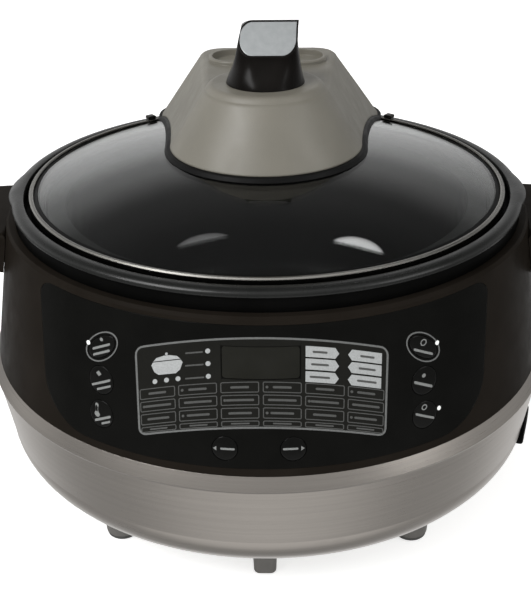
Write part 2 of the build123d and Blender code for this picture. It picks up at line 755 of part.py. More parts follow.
RIM_LIP = 2.6
RIM_FLANGE = 6.0              # under the glass, holds the gasket
lid_rim = ring(
    (LID_RADIUS - RIM_FLANGE, RIM_BOTTOM_Z - 1.2),
    (LID_RADIUS, RIM_BOTTOM_Z - 1.2),
    (LID_RADIUS, RIM_TOP_Z - 0.8),
    (LID_RADIUS - 0.9, RIM_TOP_Z),
    (LID_RADIUS - RIM_LIP + 0.6, RIM_TOP_Z),
    (LID_RADIUS - RIM_LIP, RIM_TOP_Z - 0.5),
    (LID_RADIUS - RIM_LIP, RIM_TOP_Z - 0.9),
    (LID_RADIUS - 1.0, RIM_TOP_Z - 1.3),
    (LID_RADIUS - 1.0, RIM_BOTTOM_Z - 0.4),
    (LID_RADIUS - RIM_FLANGE, RIM_BOTTOM_Z - 0.4),
)
pieces["lid_rim"] = lid_rim

lid_gasket = ring(
    (132.6, RIM_FLOOR_Z + 0.2),
    (138.8, RIM_FLOOR_Z + 0.2),
    (138.8, RIM_BOTTOM_Z - 1.3),
    (132.6, RIM_BOTTOM_Z - 1.3),
)
pieces["lid_gasket"] = lid_gasket

# outline of the lid cover at two heights: a round nose, sides that flare to the back
COVER_BASE_Z = 186.0
NOSE_TOP = 35.6
NOSE_BASE = 71.6
BACK_HALF_TOP = 42.9
BACK_HALF_BASE = 79.0
BACK_Y_TOP = 94.9
BACK_Y_BASE = 150.0


def cover_section(z, nose, back_half, back_y, corner):
    """Closed outline of the cover at height z."""
    with BuildSketch(Plane.XY.offset(z)) as section:
        with BuildLine():
            ThreePointArc((-nose, 0), (0, -nose), (nose, 0))
            Line((nose, 0), (back_half, back_y - corner))
            ThreePointArc(
                (back_half, back_y - corner),
                (back_half - 0.29 * corner, back_y - 0.29 * corner),
                (back_half - corner, back_y),
            )
            Line((back_half - corner, back_y), (-back_half + corner, back_y))
            ThreePointArc(
                (-back_half + corner, back_y),
                (-back_half + 0.29 * corner, back_y - 0.29 * corner),
                (-back_half, back_y - corner),
            )
            Line((-back_half, back_y - corner), (-nose, 0))
        make_face()
    return section.sketch


def cover_loft(grow, top_drop=0.0):
    """Solid cover form, grown outwards by an amount."""
    with BuildPart() as form:
        base = (NOSE_BASE + grow, BACK_HALF_BASE + grow, BACK_Y_BASE + grow)
        top = (NOSE_TOP + grow, BACK_HALF_TOP + grow, BACK_Y_TOP + grow)
        add(cover_section(COVER_BASE_Z, *base, 26))
        add(cover_section(COVER_TOP_Z - top_drop, *top, 14))
        loft()
    return form


SEAL_LIFT = 2.3               # the black seal stands between cover and glass
REAR_SEAL_TOP = RIM_TOP_Z + 1.6  # where the cover crosses the steel rim
SEAL_STEP = 1.7               # how far the seal stands out past the cover
TRAY_WIDTH = 70.0
TRAY_DEPTH_Y = 30.0
TRAY_FLOOR_Z = 241.5
TRAY_LIP = 2.5
TRAY_LIP_TOP_Z = 245.5
SEAT_LOW_Z = 238.0
SEAT_LOW_RADIUS = 38.2
SEAT_TOP_RADIUS = 32.5


def dome_block(lift, flat_z):
    """Everything below a surface parallel to the glass, and below a flat past the rim."""
    cap = dome_cap(LID_RADIUS, -30, lift)
    with BuildPart() as block:
        add(cap.part)
        with BuildSketch(Plane.XY.offset(150)):
            Circle(200)
        extrude(amount=flat_z - 150)
    return block


cover_outside = cover_loft(0)
cover_inside = cover_loft(-WALL, WALL)
below_cover = dome_block(SEAL_LIFT, REAR_SEAL_TOP)
seat_cone = ring(
    (0, SEAT_LOW_Z),
    (SEAT_LOW_RADIUS, SEAT_LOW_Z),
    (SEAT_TOP_RADIUS, KNOB_SEAT_Z),
    (0, KNOB_SEAT_Z),
)
with BuildPart() as knob_seat:
    add(seat_cone.part)
    fillet(knob_seat.edges().group_by(Axis.Z)[-1], 4)
with BuildPart() as lid_cover:
    add(cover_outside.part)
    fillet(lid_cover.faces().sort_by(Axis.Z)[-1].edges(), 5)
    add(knob_seat.part)
    add(cover_inside.part, mode=Mode.SUBTRACT)
    # tray behind the knob, with a raised lip all round
    with BuildSketch(Plane.XY.offset(TRAY_FLOOR_Z - WALL)):
        with Locations((0, STEAM_HOLE_Y)):
            RectangleRounded(TRAY_WIDTH + 2 * TRAY_LIP, TRAY_DEPTH_Y + 2 * TRAY_LIP, 17)
    tray_block = extrude(amount=TRAY_LIP_TOP_Z - TRAY_FLOOR_Z + WALL)
    fillet(tray_block.edges().group_by(Axis.Z)[-1], 1.1)
    with BuildSketch(Plane.XY.offset(TRAY_FLOOR_Z)):
        with Locations((0, STEAM_HOLE_Y)):
            RectangleRounded(TRAY_WIDTH, TRAY_DEPTH_Y, 14)
    extrude(amount=20, mode=Mode.SUBTRACT)
    # boss under the knob, with its screw hole, and the hole for the steam tube
    with BuildSketch(Plane.XY.offset(200)):
        Circle(9)
    extrude(amount=KNOB_SEAT_Z - 1 - 200)
    with BuildSketch(Plane.XY.offset(180)):
        Circle(3.2)
        with Locations((0, STEAM_HOLE_Y)):
            Circle(5.3)
    extrude(amount=80, mode=Mode.SUBTRACT)
    add(below_cover.part, mode=Mode.SUBTRACT)
    # hinge arms and knuckles
    for sign in (-1, 1):
        with BuildSketch(Plane.YZ.offset(sign * 36.75)):
            with Locations((150, REAR_SEAL_TOP + 2.4)):
                Rectangle(20, 4.4)
            with Locations((HINGE_Y, HINGE_Z)):
                Circle(KNUCKLE_RADIUS)
        extrude(amount=6.75, both=True)
        with BuildSketch(Plane.YZ.offset(sign * 36.75)):
            with Locations((HINGE_Y, HINGE_Z)):
                Circle(HINGE_PIN_RADIUS + RUNNING_GAP)
        extrude(amount=10, both=True, mode=Mode.SUBTRACT)
pieces["lid_cover"] = lid_cover

seal_outside = cover_loft(SEAL_STEP)
seal_inside = cover_loft(-4)
seal_top = dome_block(SEAL_LIFT - 0.1, REAR_SEAL_TOP - 0.1)
seal_bottom = dome_block(0.1, RIM_TOP_Z + 0.1)
with BuildPart() as cover_seal:
    add(seal_outside.part)
    add(seal_inside.part, mode=Mode.SUBTRACT)
    add(seal_top.part, mode=Mode.INTERSECT)
    add(seal_bottom.part, mode=Mode.SUBTRACT)
pieces["cover_seal"] = cover_seal

with BuildPart() as steam_vent:
    with BuildSketch(Plane.XY.offset(TRAY_FLOOR_Z + 0.1)):
        with Locations((0, STEAM_HOLE_Y)):
            Circle(14)
    extrude(amount=3)
    fillet(steam_vent.edges().group_by(Axis.Z)[-1], 1)
    with BuildSketch(Plane.XY.offset(199)):
        with Locations((0, STEAM_HOLE_Y)):
            Circle(5)
    extrude(amount=TRAY_FLOOR_Z + 1 - 199)
    with BuildSketch(Plane.XY.offset(198)):
        with Locations((0, STEAM_HOLE_Y)):
            Circle(3.4)
    extrude(amount=TRAY_FLOOR_Z - 198, mode=Mode.SUBTRACT)
    with BuildSketch(Plane.XY.offset(TRAY_FLOOR_Z - 1)):
        with Locations((-2.6, STEAM_HOLE_Y), (2.6, STEAM_HOLE_Y)):
            SlotOverall(7, 1.8, rotation=90)
    extrude(amount=8, mode=Mode.SUBTRACT)
pieces["steam_vent"] = steam_vent

# ---------------------------------------------------------------- lid knob
KNOB_BASE_RADIUS = 22.8
# height, left, right, front, back and corner radius of each section above the base
KNOB_SECTIONS = [
    (250, -21.3, 21.6, -20.8, 20.8, 19.5),
    (256, -18.6, 20.4, -17.2, 17.8, 14),
    (262, -16.9, 19.4, -14.6, 16.0, 10),
    (270, -15.2, 18.6, -13.4, 15.0, 8),
    (284, -14.5, 19.6, -13.0, 14.0, 8),
]
KNOB_LEFT = -15.1             # left side where the rounded top corner starts
KNOB_CORNER = 8.5
CAP_DEPTH = 1.2               # silver plate let into the slanted face
PLATE_BORDER = 0.9
FACE_LOW = (-14.0, 263.6)     # (y, z) of the slanted face's lower and upper edges
FACE_HIGH = (2.7, KNOB_TOP_Z)
BACK_FALL = 0.625             # fall of the knob's top behind the face, per mm


def knob_form(sections, shrink=0.0):
    """Knob before its slanted face is cut, made smaller all round by an amount."""
    with BuildPart() as form:
        if sections is KNOB_SECTIONS:
            with BuildSketch(Plane.XY.offset(KNOB_SEAT_Z + 0.1)):
                Circle(KNOB_BASE_RADIUS)
        for z, left, right, front, back, corner in sections:
            with BuildSketch(Plane.XY.offset(z)):
                with Locations(((left + right) / 2, (front + back) / 2)):
                    RectangleRounded(
                        right - left - 2 * shrink,
                        back - front - 2 * shrink,
                        corner - shrink,
                    )
        loft()
        with BuildSketch(Plane.XZ.offset(-40)):
            with BuildLine():
                side = KNOB_LEFT + shrink
                top = KNOB_TOP_Z - shrink
                arc = KNOB_CORNER - shrink
                Line((side - 20, KNOB_SEAT_Z), (side, top - arc))
                RadiusArc((side, top - arc), (side + arc, top), arc)
                Polyline(
                    (side + arc, top),
                    (40, top),
                    (40, KNOB_SEAT_Z),
                    (side - 20, KNOB_SEAT_Z),
                )
            make_face()
        extrude(amount=80, mode=Mode.INTERSECT)
    return form


def below_face(drop):
    """Region below the knob's top: a slanted face, moved down by an amount, and a falling back."""
    slope = (FACE_HIGH[1] - FACE_LOW[1]) / (FACE_HIGH[0] - FACE_LOW[0])
    ridge_y = FACE_HIGH[0] + drop / (slope + BACK_FALL)
    ridge_z = FACE_HIGH[1] - BACK_FALL * (ridge_y - FACE_HIGH[0])
    with BuildPart() as region:
        with BuildSketch(Plane.YZ.offset(-60)):
            with BuildLine():
                Polyline(
                    (-60, 200),
                    (-60, ridge_z - slope * (ridge_y + 60)),
                    (ridge_y, ridge_z),
                    (60, ridge_z - BACK_FALL * (60 - ridge_y)),
                    (60, 200),
                    close=True,
                )
            make_face()
        extrude(amount=120)
    return region


whole_knob = knob_form(KNOB_SECTIONS)
recess_form = knob_form(KNOB_SECTIONS[2:], PLATE_BORDER - SEAM)
plate_form = knob_form(KNOB_SECTIONS[2:], PLATE_BORDER)
under_face = below_face(0)
recess_floor = below_face(CAP_DEPTH)
plate_back = below_face(CAP_DEPTH - 0.05)
with BuildPart() as plate_recess:
    add(recess_form.part)
    add(recess_floor.part, mode=Mode.SUBTRACT)
with BuildPart() as knob_body:
    add(whole_knob.part)
    add(under_face.part, mode=Mode.INTERSECT)
    add(plate_recess.part, mode=Mode.SUBTRACT)
    with BuildSketch(Plane.XY.offset(KNOB_SEAT_Z)):
        Circle(2.1)
    extrude(amount=12, mode=Mode.SUBTRACT)
pieces["knob_body"] = knob_body

with BuildPart() as knob_plate:
    add(plate_form.part)
    add(under_face.part, mode=Mode.INTERSECT)
    add(plate_back.part, mode=Mode.SUBTRACT)
pieces["knob_plate"] = knob_plate

above_hub = dome_cap(60, -GLASS_THICKNESS - 0.1, 20)
with BuildPart() as knob_hub:
    with BuildSketch(Plane.XY.offset(198.5)):
        Circle(18)
    extrude(amount=9)
    add(above_hub.part, mode=Mode.SUBTRACT)
    with BuildSketch(Plane.XY.offset(190)):
        Circle(2.1)
    extrude(amount=30, mode=Mode.SUBTRACT)
pieces["knob_hub"] = knob_hub

with BuildPart() as knob_screw:
    with BuildSketch(Plane.XY.offset(195.4)):
        Circle(4.2)
    extrude(amount=3)
    with BuildSketch(Plane.XY.offset(195.4)):
        Circle(2)
    extrude(amount=KNOB_SEAT_Z + 11 - 195.4)
pieces["knob_screw"] = knob_screw

CLIP_ANGLE = 36.5
with BuildPart() as rim_clips:
    for angle in (90 - CLIP_ANGLE, 90 + CLIP_ANGLE):
        with BuildSketch(side_plane(angle, LID_RADIUS - 2.6, RIM_TOP_Z + 1.3)):
            RectangleRounded(6, 2.4, 1)
        extrude(amount=4.5)
pieces["rim_clips"] = rim_clips

# ---------------------------------------------------------------- hinge
KNUCKLE_IN = 44.0
KNUCKLE_OUT = 56.0
BRACKET_LOW_Z = 140.0
BRACKET_HIGH_Z = 178.0
HINGE_SCREWS = [(-36, 150), (36, 150), (-36, 166), (36, 166)]
BRACKET_BACK_Y = 170.0

with BuildPart() as hinge_bracket:
    with BuildSketch(Plane.YZ.offset(-KNUCKLE_OUT)):
        with BuildLine():
            Polyline(
                (145, BRACKET_LOW_Z),
                (BRACKET_BACK_Y, BRACKET_LOW_Z + 6),
                (BRACKET_BACK_Y, BRACKET_HIGH_Z - 4),
                (BRACKET_BACK_Y - 4, BRACKET_HIGH_Z),
                (145, BRACKET_HIGH_Z),
                close=True,
            )
        make_face()
    extrude(amount=2 * KNUCKLE_OUT)
    for sign in (-1, 1):
        with BuildSketch(Plane.YZ.offset(sign * KNUCKLE_IN)):
            with Locations((HINGE_Y, HINGE_Z)):
                Circle(KNUCKLE_RADIUS)
            with Locations((HINGE_Y, (HINGE_Z + BRACKET_HIGH_Z) / 2 - 2)):
                Rectangle(2 * KNUCKLE_RADIUS, HINGE_Z - BRACKET_HIGH_Z + 4)
        extrude(amount=sign * (KNUCKLE_OUT - KNUCKLE_IN))
        with BuildSketch(Plane.YZ.offset(sign * (KNUCKLE_IN - 1))):
            with Locations((HINGE_Y, HINGE_Z)):
                Circle(HINGE_PIN_RADIUS + RUNNING_GAP)
        extrude(amount=sign * (KNUCKLE_OUT - KNUCKLE_IN), mode=Mode.SUBTRACT)
    with BuildSketch(Plane.XZ):
        with BuildLine():
            Polyline(
                (0, BRACKET_LOW_Z - 10),
                (cone_radius(BRACKET_LOW_Z - 10) + 0.2, BRACKET_LOW_Z - 10),
                (cone_radius(HOUSING_TOP_Z) + 0.2, HOUSING_TOP_Z),
                (cone_radius(HOUSING_TOP_Z) + 0.2, BRACKET_HIGH_Z + 20),
                (0, BRACKET_HIGH_Z + 20),
                close=True,
            )
        make_face()
    revolve(axis=Axis.Z, mode=Mode.SUBTRACT)
pieces["hinge_bracket"] = hinge_bracket

with BuildPart() as hinge_pins:
    for sign in (-1, 1):
        with BuildSketch(Plane.YZ.offset(sign * 30.5)):
            with Locations((HINGE_Y, HINGE_Z)):
                Circle(HINGE_PIN_RADIUS)
        extrude(amount=sign * (KNUCKLE_OUT - 31.7))
pieces["hinge_pins"] = hinge_pins

with BuildPart() as hinge_screws:
    with BuildSketch(Plane.XZ.offset(-BRACKET_BACK_Y)):
        with Locations(*HINGE_SCREWS):
            Circle(3.2)
    extrude(amount=-1.6)
    fillet(hinge_screws.edges().group_by(Axis.Y)[-1], 0.7)
pieces["hinge_screws"] = hinge_screws

# ---------------------------------------------------------------- files
os.makedirs("parts", exist_ok=True)
for name, piece in pieces.items():
    piece.part.label = name
    export_step(piece.part, f"parts/{name}.step")
print(len(pieces), "nodes written")
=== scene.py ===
"""Looks of the round electric multicooker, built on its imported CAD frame.

Metres, +Z up, the front is -Y. CAD nodes keep their shapes and get materials here. Printed
graphics, domed keys and other fine detail are added as pieces on the same bodies.
"""

import math

import bmesh
import bpy
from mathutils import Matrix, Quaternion, Vector


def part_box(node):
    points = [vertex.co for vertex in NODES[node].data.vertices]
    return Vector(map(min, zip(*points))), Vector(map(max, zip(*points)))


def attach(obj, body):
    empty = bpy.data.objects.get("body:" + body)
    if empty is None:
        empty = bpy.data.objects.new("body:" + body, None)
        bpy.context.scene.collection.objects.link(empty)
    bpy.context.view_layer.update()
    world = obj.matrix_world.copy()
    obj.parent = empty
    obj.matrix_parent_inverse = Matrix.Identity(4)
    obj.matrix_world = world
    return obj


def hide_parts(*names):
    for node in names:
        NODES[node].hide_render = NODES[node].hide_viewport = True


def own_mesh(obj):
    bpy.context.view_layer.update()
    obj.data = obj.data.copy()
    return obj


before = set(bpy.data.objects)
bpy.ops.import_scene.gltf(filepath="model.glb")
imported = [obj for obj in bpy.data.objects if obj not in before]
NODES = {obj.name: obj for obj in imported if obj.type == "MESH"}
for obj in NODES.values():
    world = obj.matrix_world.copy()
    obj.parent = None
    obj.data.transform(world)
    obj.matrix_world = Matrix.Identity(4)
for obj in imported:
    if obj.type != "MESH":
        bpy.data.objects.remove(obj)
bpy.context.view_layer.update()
scene = bpy.context.scene
MM = 0.001
BRUSH_RADIUS = 0.17   # metres, where brushed hair lines have their true length


# ---------------------------------------------------------------- node helpers
class Look:
    """A material around one Principled shader, with short calls for its nodes."""

    def __init__(self, name, **fixed):
        self.material = bpy.data.materials.new(name)
        self.material.use_nodes = True
        self.tree = self.material.node_tree
        self.shader = self.tree.nodes["Principled BSDF"]
        for socket, value in fixed.items():
            self.shader.inputs[socket.replace("_", " ")].default_value = value
        self.place = self.add("ShaderNodeTexCoord").outputs["Object"]

    def add(self, kind, **settings):
        node = self.tree.nodes.new(kind)
        for key, value in settings.items():
            setattr(node, key, value)
        return node

    def link(self, source, target):
        if isinstance(target, str):
            target = self.shader.inputs[target]
        self.tree.links.new(source, target)

    def scaled(self, vector, scale):
        node = self.add("ShaderNodeMapping")
        node.inputs["Scale"].default_value = scale
        self.link(vector, node.inputs["Vector"])
        return node.outputs["Vector"]

    def noise(self, size, detail=4.0, rough=0.55, vector=None, distortion=0.0):
        """Noise whose features are about `size` metres across."""
        node = self.add("ShaderNodeTexNoise")
        node.inputs["Scale"].default_value = 1.0 / size
        node.inputs["Detail"].default_value = detail
        node.inputs["Roughness"].default_value = rough
        node.inputs["Distortion"].default_value = distortion
        self.link(self.place if vector is None else vector, node.inputs["Vector"])
        return node.outputs["Fac"]

    def remap(self, value, low, high, new_low, new_high):
        node = self.add("ShaderNodeMapRange")
        for socket, number in zip(
            ("From Min", "From Max", "To Min", "To Max"), (low, high, new_low, new_high)
        ):
            node.inputs[socket].default_value = number
        self.link(value, node.inputs["Value"])
        return node.outputs["Result"]

    def math(self, operation, first, second=None):
        node = self.add("ShaderNodeMath", operation=operation)
        for socket, value in zip(node.inputs, (first, second)):
            if isinstance(value, (int, float)):
                socket.default_value = value
            elif value is not None:
                self.link(value, socket)
        return node.outputs["Value"]

    def blend(self, factor, first, second):
        """Colour mix; first and second are colours or sockets."""
        node = self.add("ShaderNodeMix", data_type="RGBA")
        self.link(factor, node.inputs["Factor"])
        for socket, value in ((node.inputs[6], first), (node.inputs[7], second)):
            if isinstance(value, (tuple, list)):
                socket.default_value = (*value[:3], 1.0)
            else:
                self.link(value, socket)
        return node.outputs[2]

    def bump(self, height, distance, strength=1.0, normal=None):
        node = self.add("ShaderNodeBump")
        node.inputs["Distance"].default_value = distance
        node.inputs["Strength"].default_value = strength
        self.link(height, node.inputs["Height"])
        if normal is not None:
            self.link(normal, node.inputs["Normal"])
        return node.outputs["Normal"]

    def soft_edges(self, radius):
        node = self.add("ShaderNodeBevel", samples=4)
        node.inputs["Radius"].default_value = radius
        return node.outputs["Normal"]


def moulded(name, dark, light, rough, spread=0.06, grain=0.0006, depth=0.00002, edge=0.0004,
            cloud=0.03, **fixed):
    """Moulded plastic or rubber: cloudy colour, fine grain in bump and roughness, soft edges."""
    look = Look(name, **fixed)
    clouds = look.noise(cloud, detail=3.0)
    fine = look.noise(grain, detail=2.0)
    tone = look.math("ADD", look.math("MULTIPLY", clouds, 0.7), look.math("MULTIPLY", fine, 0.3))
    look.link(look.blend(look.remap(tone, 0.35, 0.65, 0.0, 1.0), dark, light), "Base Color")
    wear = look.noise(cloud * 0.4, detail=5.0)
    look.link(look.remap(wear, 0.3, 0.7, rough - spread, rough + spread), "Roughness")
    look.link(look.bump(fine, depth, normal=look.soft_edges(edge)), "Normal")
    return look.material


def around(look):
    """Vector that runs (arc, height, radius) round the pot axis, with the arc at BRUSH_RADIUS."""
    split = look.add("ShaderNodeSeparateXYZ")
    look.link(look.place, split.inputs["Vector"])
    minus_y = look.math("MULTIPLY", split.outputs["Y"], -1.0)
    angle = look.math("ARCTAN2", split.outputs["X"], minus_y)
    arc = look.math("MULTIPLY", angle, BRUSH_RADIUS)
    radius = look.math("SQRT", look.math("ADD", look.math("POWER", split.outputs["X"], 2.0),
                                         look.math("POWER", split.outputs["Y"], 2.0)))
    join = look.add("ShaderNodeCombineXYZ")
    look.link(arc, join.inputs["X"])
    look.link(split.outputs["Z"], join.inputs["Y"])
    look.link(radius, join.inputs["Z"])
    return join.outputs["Vector"]


def turned_metal(name, dark, light, rough, spread=0.05, hair=0.00025, length=0.03,
                 depth=0.000012, anisotropic=0.7, edge=0.0004, **fixed):
    """Metal brushed round the axis, with fine hair lines and faint smudges."""
    look = Look(name, Metallic=1.0, Anisotropic=anisotropic, **fixed)
    path = around(look)
    hairs = look.noise(1.0, detail=3.0,
                       vector=look.scaled(path, (1 / length, 1 / hair, 1 / hair)))
    bands = look.noise(1.0, detail=2.0,
                       vector=look.scaled(path, (1 / (length * 4), 1 / (hair * 9),
                                                 1 / (hair * 9))))
    smudge = look.noise(0.05, detail=4.0)
    tone = look.math("ADD", look.math("MULTIPLY", hairs, 0.55), look.math("MULTIPLY", bands, 0.45))
    look.link(look.blend(look.remap(tone, 0.3, 0.7, 0.0, 1.0), dark, light), "Base Color")
    shine = look.math("ADD", look.math("MULTIPLY", hairs, 0.6), look.math("MULTIPLY", smudge, 0.4))
    look.link(look.remap(shine, 0.3, 0.7, rough - spread, rough + spread), "Roughness")
    look.link(look.bump(tone, depth, normal=look.soft_edges(edge)), "Normal")
    tangent = look.add("ShaderNodeTangent", direction_type="RADIAL", axis="Z")
    look.link(tangent.outputs["Tangent"], "Tangent")
    return look.material


def plain_metal(name, dark, light, rough, spread=0.07, grain=0.0012, **fixed):
    """Cast, plated or drawn metal with a mottled finish."""
    look = Look(name, Metallic=1.0, **fixed)
    mottle = look.noise(grain * 6, detail=5.0)
    fine = look.noise(grain, detail=3.0)
    look.link(look.blend(look.remap(mottle, 0.35, 0.65, 0.0, 1.0), dark, light), "Base Color")
    look.link(look.remap(fine, 0.3, 0.7, rough - spread, rough + spread), "Roughness")
    look.link(look.bump(fine, 0.00002, normal=look.soft_edges(0.0003)), "Normal")
    return look.material


def gloss(name, dark, light, rough, spread=0.03, **fixed):
    """Polished dark plastic or glass: faint haze, dust-fine speckle and a slight ripple."""
    look = Look(name, **fixed)
    haze = look.noise(0.02, detail=5.0)
    speckle = look.noise(0.0009, detail=2.0)
    look.link(look.blend(look.remap(haze, 0.35, 0.65, 0.0, 1.0), dark, light), "Base Color")
    shine = look.math("ADD", look.math("MULTIPLY", haze, 0.75),
                      look.math("MULTIPLY", speckle, 0.25))
    look.link(look.remap(shine, 0.3, 0.7, max(rough - spread, 0.01), rough + spread), "Roughness")
    look.link(look.bump(haze, 0.00003, normal=look.soft_edges(0.0004)), "Normal")
    return look.material


# ---------------------------------------------------------------- materials
def smoked_glass():
    look = Look("smoked_glass", Transmission_Weight=1.0, IOR=1.5)
    smear = look.noise(0.03, detail=6.0, distortion=0.4)
    look.link(look.blend(smear, (0.50, 0.52, 0.51), (0.58, 0.60, 0.59)), "Base Color")
    look.link(look.remap(smear, 0.4, 0.75, 0.0, 0.05), "Roughness")
    look.link(look.bump(look.noise(0.12, detail=1.0), 0.0001), "Normal")
    return look.material


def pot_coating():
    """Dark non-stick coating with fine pale flecks."""
    look = Look("nonstick", IOR=1.32)
    fleck = look.add("ShaderNodeTexVoronoi")
    fleck.inputs["Scale"].default_value = 1 / 0.0016
    look.link(look.place, fleck.inputs["Vector"])
    spots = look.remap(fleck.outputs["Distance"], 0.08, 0.16, 1.0, 0.0)
    thin = look.math("MULTIPLY", spots, look.remap(look.noise(0.004), 0.5, 0.6, 0.0, 0.5))
    base = look.blend(look.noise(0.03), (0.012, 0.012, 0.011), (0.019, 0.019, 0.0175))
    look.link(look.blend(thin, base, (0.05, 0.05, 0.047)), "Base Color")
    look.link(look.remap(look.noise(0.01), 0.3, 0.7, 0.3, 0.42), "Roughness")
    look.link(look.bump(look.noise(0.0008), 0.00003), "Normal")
    return look.material


def board():
    """Circuit board: green lacquer over pale tracks."""
    look = Look("board", Coat_Weight=0.3)
    tracks = look.add("ShaderNodeTexBrick", offset=0.3)
    tracks.inputs["Scale"].default_value = 120.0
    tracks.inputs["Color1"].default_value = (0.01, 0.07, 0.03, 1)
    tracks.inputs["Color2"].default_value = (0.012, 0.09, 0.035, 1)
    tracks.inputs["Mortar"].default_value = (0.03, 0.16, 0.06, 1)
    look.link(look.place, tracks.inputs["Vector"])
    look.link(tracks.outputs["Color"], "Base Color")
    look.link(look.remap(look.noise(0.004), 0.3, 0.7, 0.3, 0.5), "Roughness")
    return look.material


def glow(name, colour, strength):
    """Pale printed ink, and the indicator lens, with a faint emission; on the printed ink this
    emission is painted glow, since ink gives no light.
    """
    # Emission strength: a faint painted glow on the printed inks
    look = Look(name, Roughness=0.4, Emission_Strength=strength)
    fine = look.noise(0.0007, detail=2.0)
    dim = tuple(c * 0.82 for c in colour)
    shade = look.blend(look.remap(fine, 0.35, 0.65, 0.0, 1.0), dim, colour)
    look.link(shade, "Base Color")
    look.link(shade, "Emission Color")
    look.link(look.remap(fine, 0.3, 0.7, 0.3, 0.5), "Roughness")
    return look.material


LOOKS = {
    "brushed_steel": turned_metal("brushed_steel", (0.362, 0.335, 0.307), (0.432, 0.400, 0.366),
                                  0.30, spread=0.04, hair=0.0002, length=0.045),
    "rim_steel": turned_metal("rim_steel", (0.23, 0.224, 0.208), (0.30, 0.292, 0.272), 0.26,
                              edge=0.0006),
    "bright_steel": plain_metal("bright_steel", (0.62, 0.62, 0.61), (0.75, 0.75, 0.74), 0.16),
    "zinc_steel": plain_metal("zinc_steel", (0.45, 0.46, 0.46), (0.62, 0.63, 0.63), 0.32),
    "brown_housing": moulded("brown_housing", (0.0105, 0.0085, 0.0066), (0.0140, 0.0114, 0.0090),
                             0.38, IOR=1.08, Specular_IOR_Level=0.3),
    "grey_collar": moulded("grey_collar", (0.0085, 0.009, 0.0085), (0.012, 0.0125, 0.0118), 0.27,
                           edge=0.0004, depth=0.00001, IOR=1.38),
    "black_moulding": moulded("black_moulding", (0.0022, 0.0022, 0.0021), (0.0034, 0.0034, 0.0032),
                              0.45, IOR=1.08),
    "grey_foot": moulded("grey_foot", (0.094, 0.089, 0.082), (0.122, 0.116, 0.107), 0.55),
    "rubber_pad": moulded("rubber_pad", (0.05, 0.049, 0.047), (0.07, 0.069, 0.066), 0.75),
    "panel_gloss": gloss("panel_gloss", (0.0040, 0.0040, 0.0036), (0.0050, 0.0050, 0.0045), 0.12,
                         IOR=1.14),
    "display_glass": gloss("display_glass", (0.0135, 0.0135, 0.0112), (0.0165, 0.0165, 0.0140),
                           0.12, IOR=1.14),
    "key_gloss": gloss("key_gloss", (0.0045, 0.0045, 0.0041), (0.006, 0.006, 0.0055), 0.16,
                       IOR=1.2),
    "light_guide": glow("light_guide", (0.85, 0.86, 0.84), 0.25),
    "switch_black": moulded("switch_black", (0.01, 0.01, 0.01), (0.018, 0.018, 0.018), 0.5),
    "circuit_board": board(),
    "shield_sheet": plain_metal("shield_sheet", (0.40, 0.40, 0.39), (0.55, 0.55, 0.54), 0.30),
    "pot_coating": pot_coating(),
    "cast_plate": plain_metal("cast_plate", (0.26, 0.26, 0.255), (0.36, 0.36, 0.35), 0.5,
                              grain=0.002),
    "element_tube": plain_metal("element_tube", (0.10, 0.09, 0.08), (0.2, 0.17, 0.15), 0.5),
    "sensor_cap": plain_metal("sensor_cap", (0.5, 0.49, 0.47), (0.62, 0.61, 0.58), 0.34),
    "spring_steel": plain_metal("spring_steel", (0.34, 0.34, 0.35), (0.46, 0.46, 0.47), 0.28),
    "fuse_body": moulded("fuse_body", (0.55, 0.53, 0.48), (0.66, 0.64, 0.58), 0.6),
    "winding": plain_metal("winding", (0.30, 0.12, 0.05), (0.48, 0.20, 0.09), 0.35, grain=0.0005),
    "relay_case": moulded("relay_case", (0.02, 0.05, 0.16), (0.03, 0.07, 0.22), 0.4),
    "capacitor_can": moulded("capacitor_can", (0.012, 0.015, 0.03), (0.02, 0.024, 0.045), 0.35),
    "brass_pins": plain_metal("brass_pins", (0.52, 0.40, 0.18), (0.66, 0.52, 0.26), 0.28),
    "lead_sleeve": moulded("lead_sleeve", (0.02, 0.02, 0.02), (0.035, 0.034, 0.033), 0.6),
    "lid_glass": smoked_glass(),
    "silicone_seal": moulded("silicone_seal", (0.003, 0.003, 0.003), (0.005, 0.005, 0.005), 0.5,
                             IOR=1.2),
    "taupe_cover": moulded("taupe_cover", (0.162, 0.152, 0.125), (0.184, 0.173, 0.143), 0.46,
                           spread=0.05, grain=0.0005, depth=0.00003, edge=0.0012),
    "vent_black": moulded("vent_black", (0.008, 0.008, 0.008), (0.013, 0.013, 0.013), 0.4),
    "knob_gloss": gloss("knob_gloss", (0.0045, 0.0038, 0.0032), (0.0065, 0.0055, 0.0048), 0.22,
                        IOR=1.2),
    "silver_plate": plain_metal("silver_plate", (0.43, 0.45, 0.455), (0.48, 0.50, 0.505), 0.40,
                                grain=0.0007),
}
# The printed inks carry a faint emission: painted glow that lifts them above their own colour
PRINT_LIGHT = glow("print_light", (0.36, 0.37, 0.37), 0.10)
PRINT_MID = glow("print_mid", (0.13, 0.133, 0.13), 0.08)
PRINT_DIM = glow("print_dim", (0.068, 0.069, 0.066), 0.06)
PRINT_LABEL = glow("print_label", (0.20, 0.205, 0.20), 0.10)
FIELD = gloss("panel_field", (0.0105, 0.0105, 0.0092), (0.0125, 0.0125, 0.0110), 0.12,
              IOR=1.14)

for node in NODES.values():
    slot = node.material_slots[0].material.name
    node.material_slots[0].material = LOOKS[slot]
# The rim clips get a steel darkened to near black: painted shade, so that they show no glint
NODES["rim_clips"].material_slots[0].material = plain_metal(
    "clip_steel_painted_dark", (0.045, 0.043, 0.040), (0.075, 0.072, 0.067), 0.42)


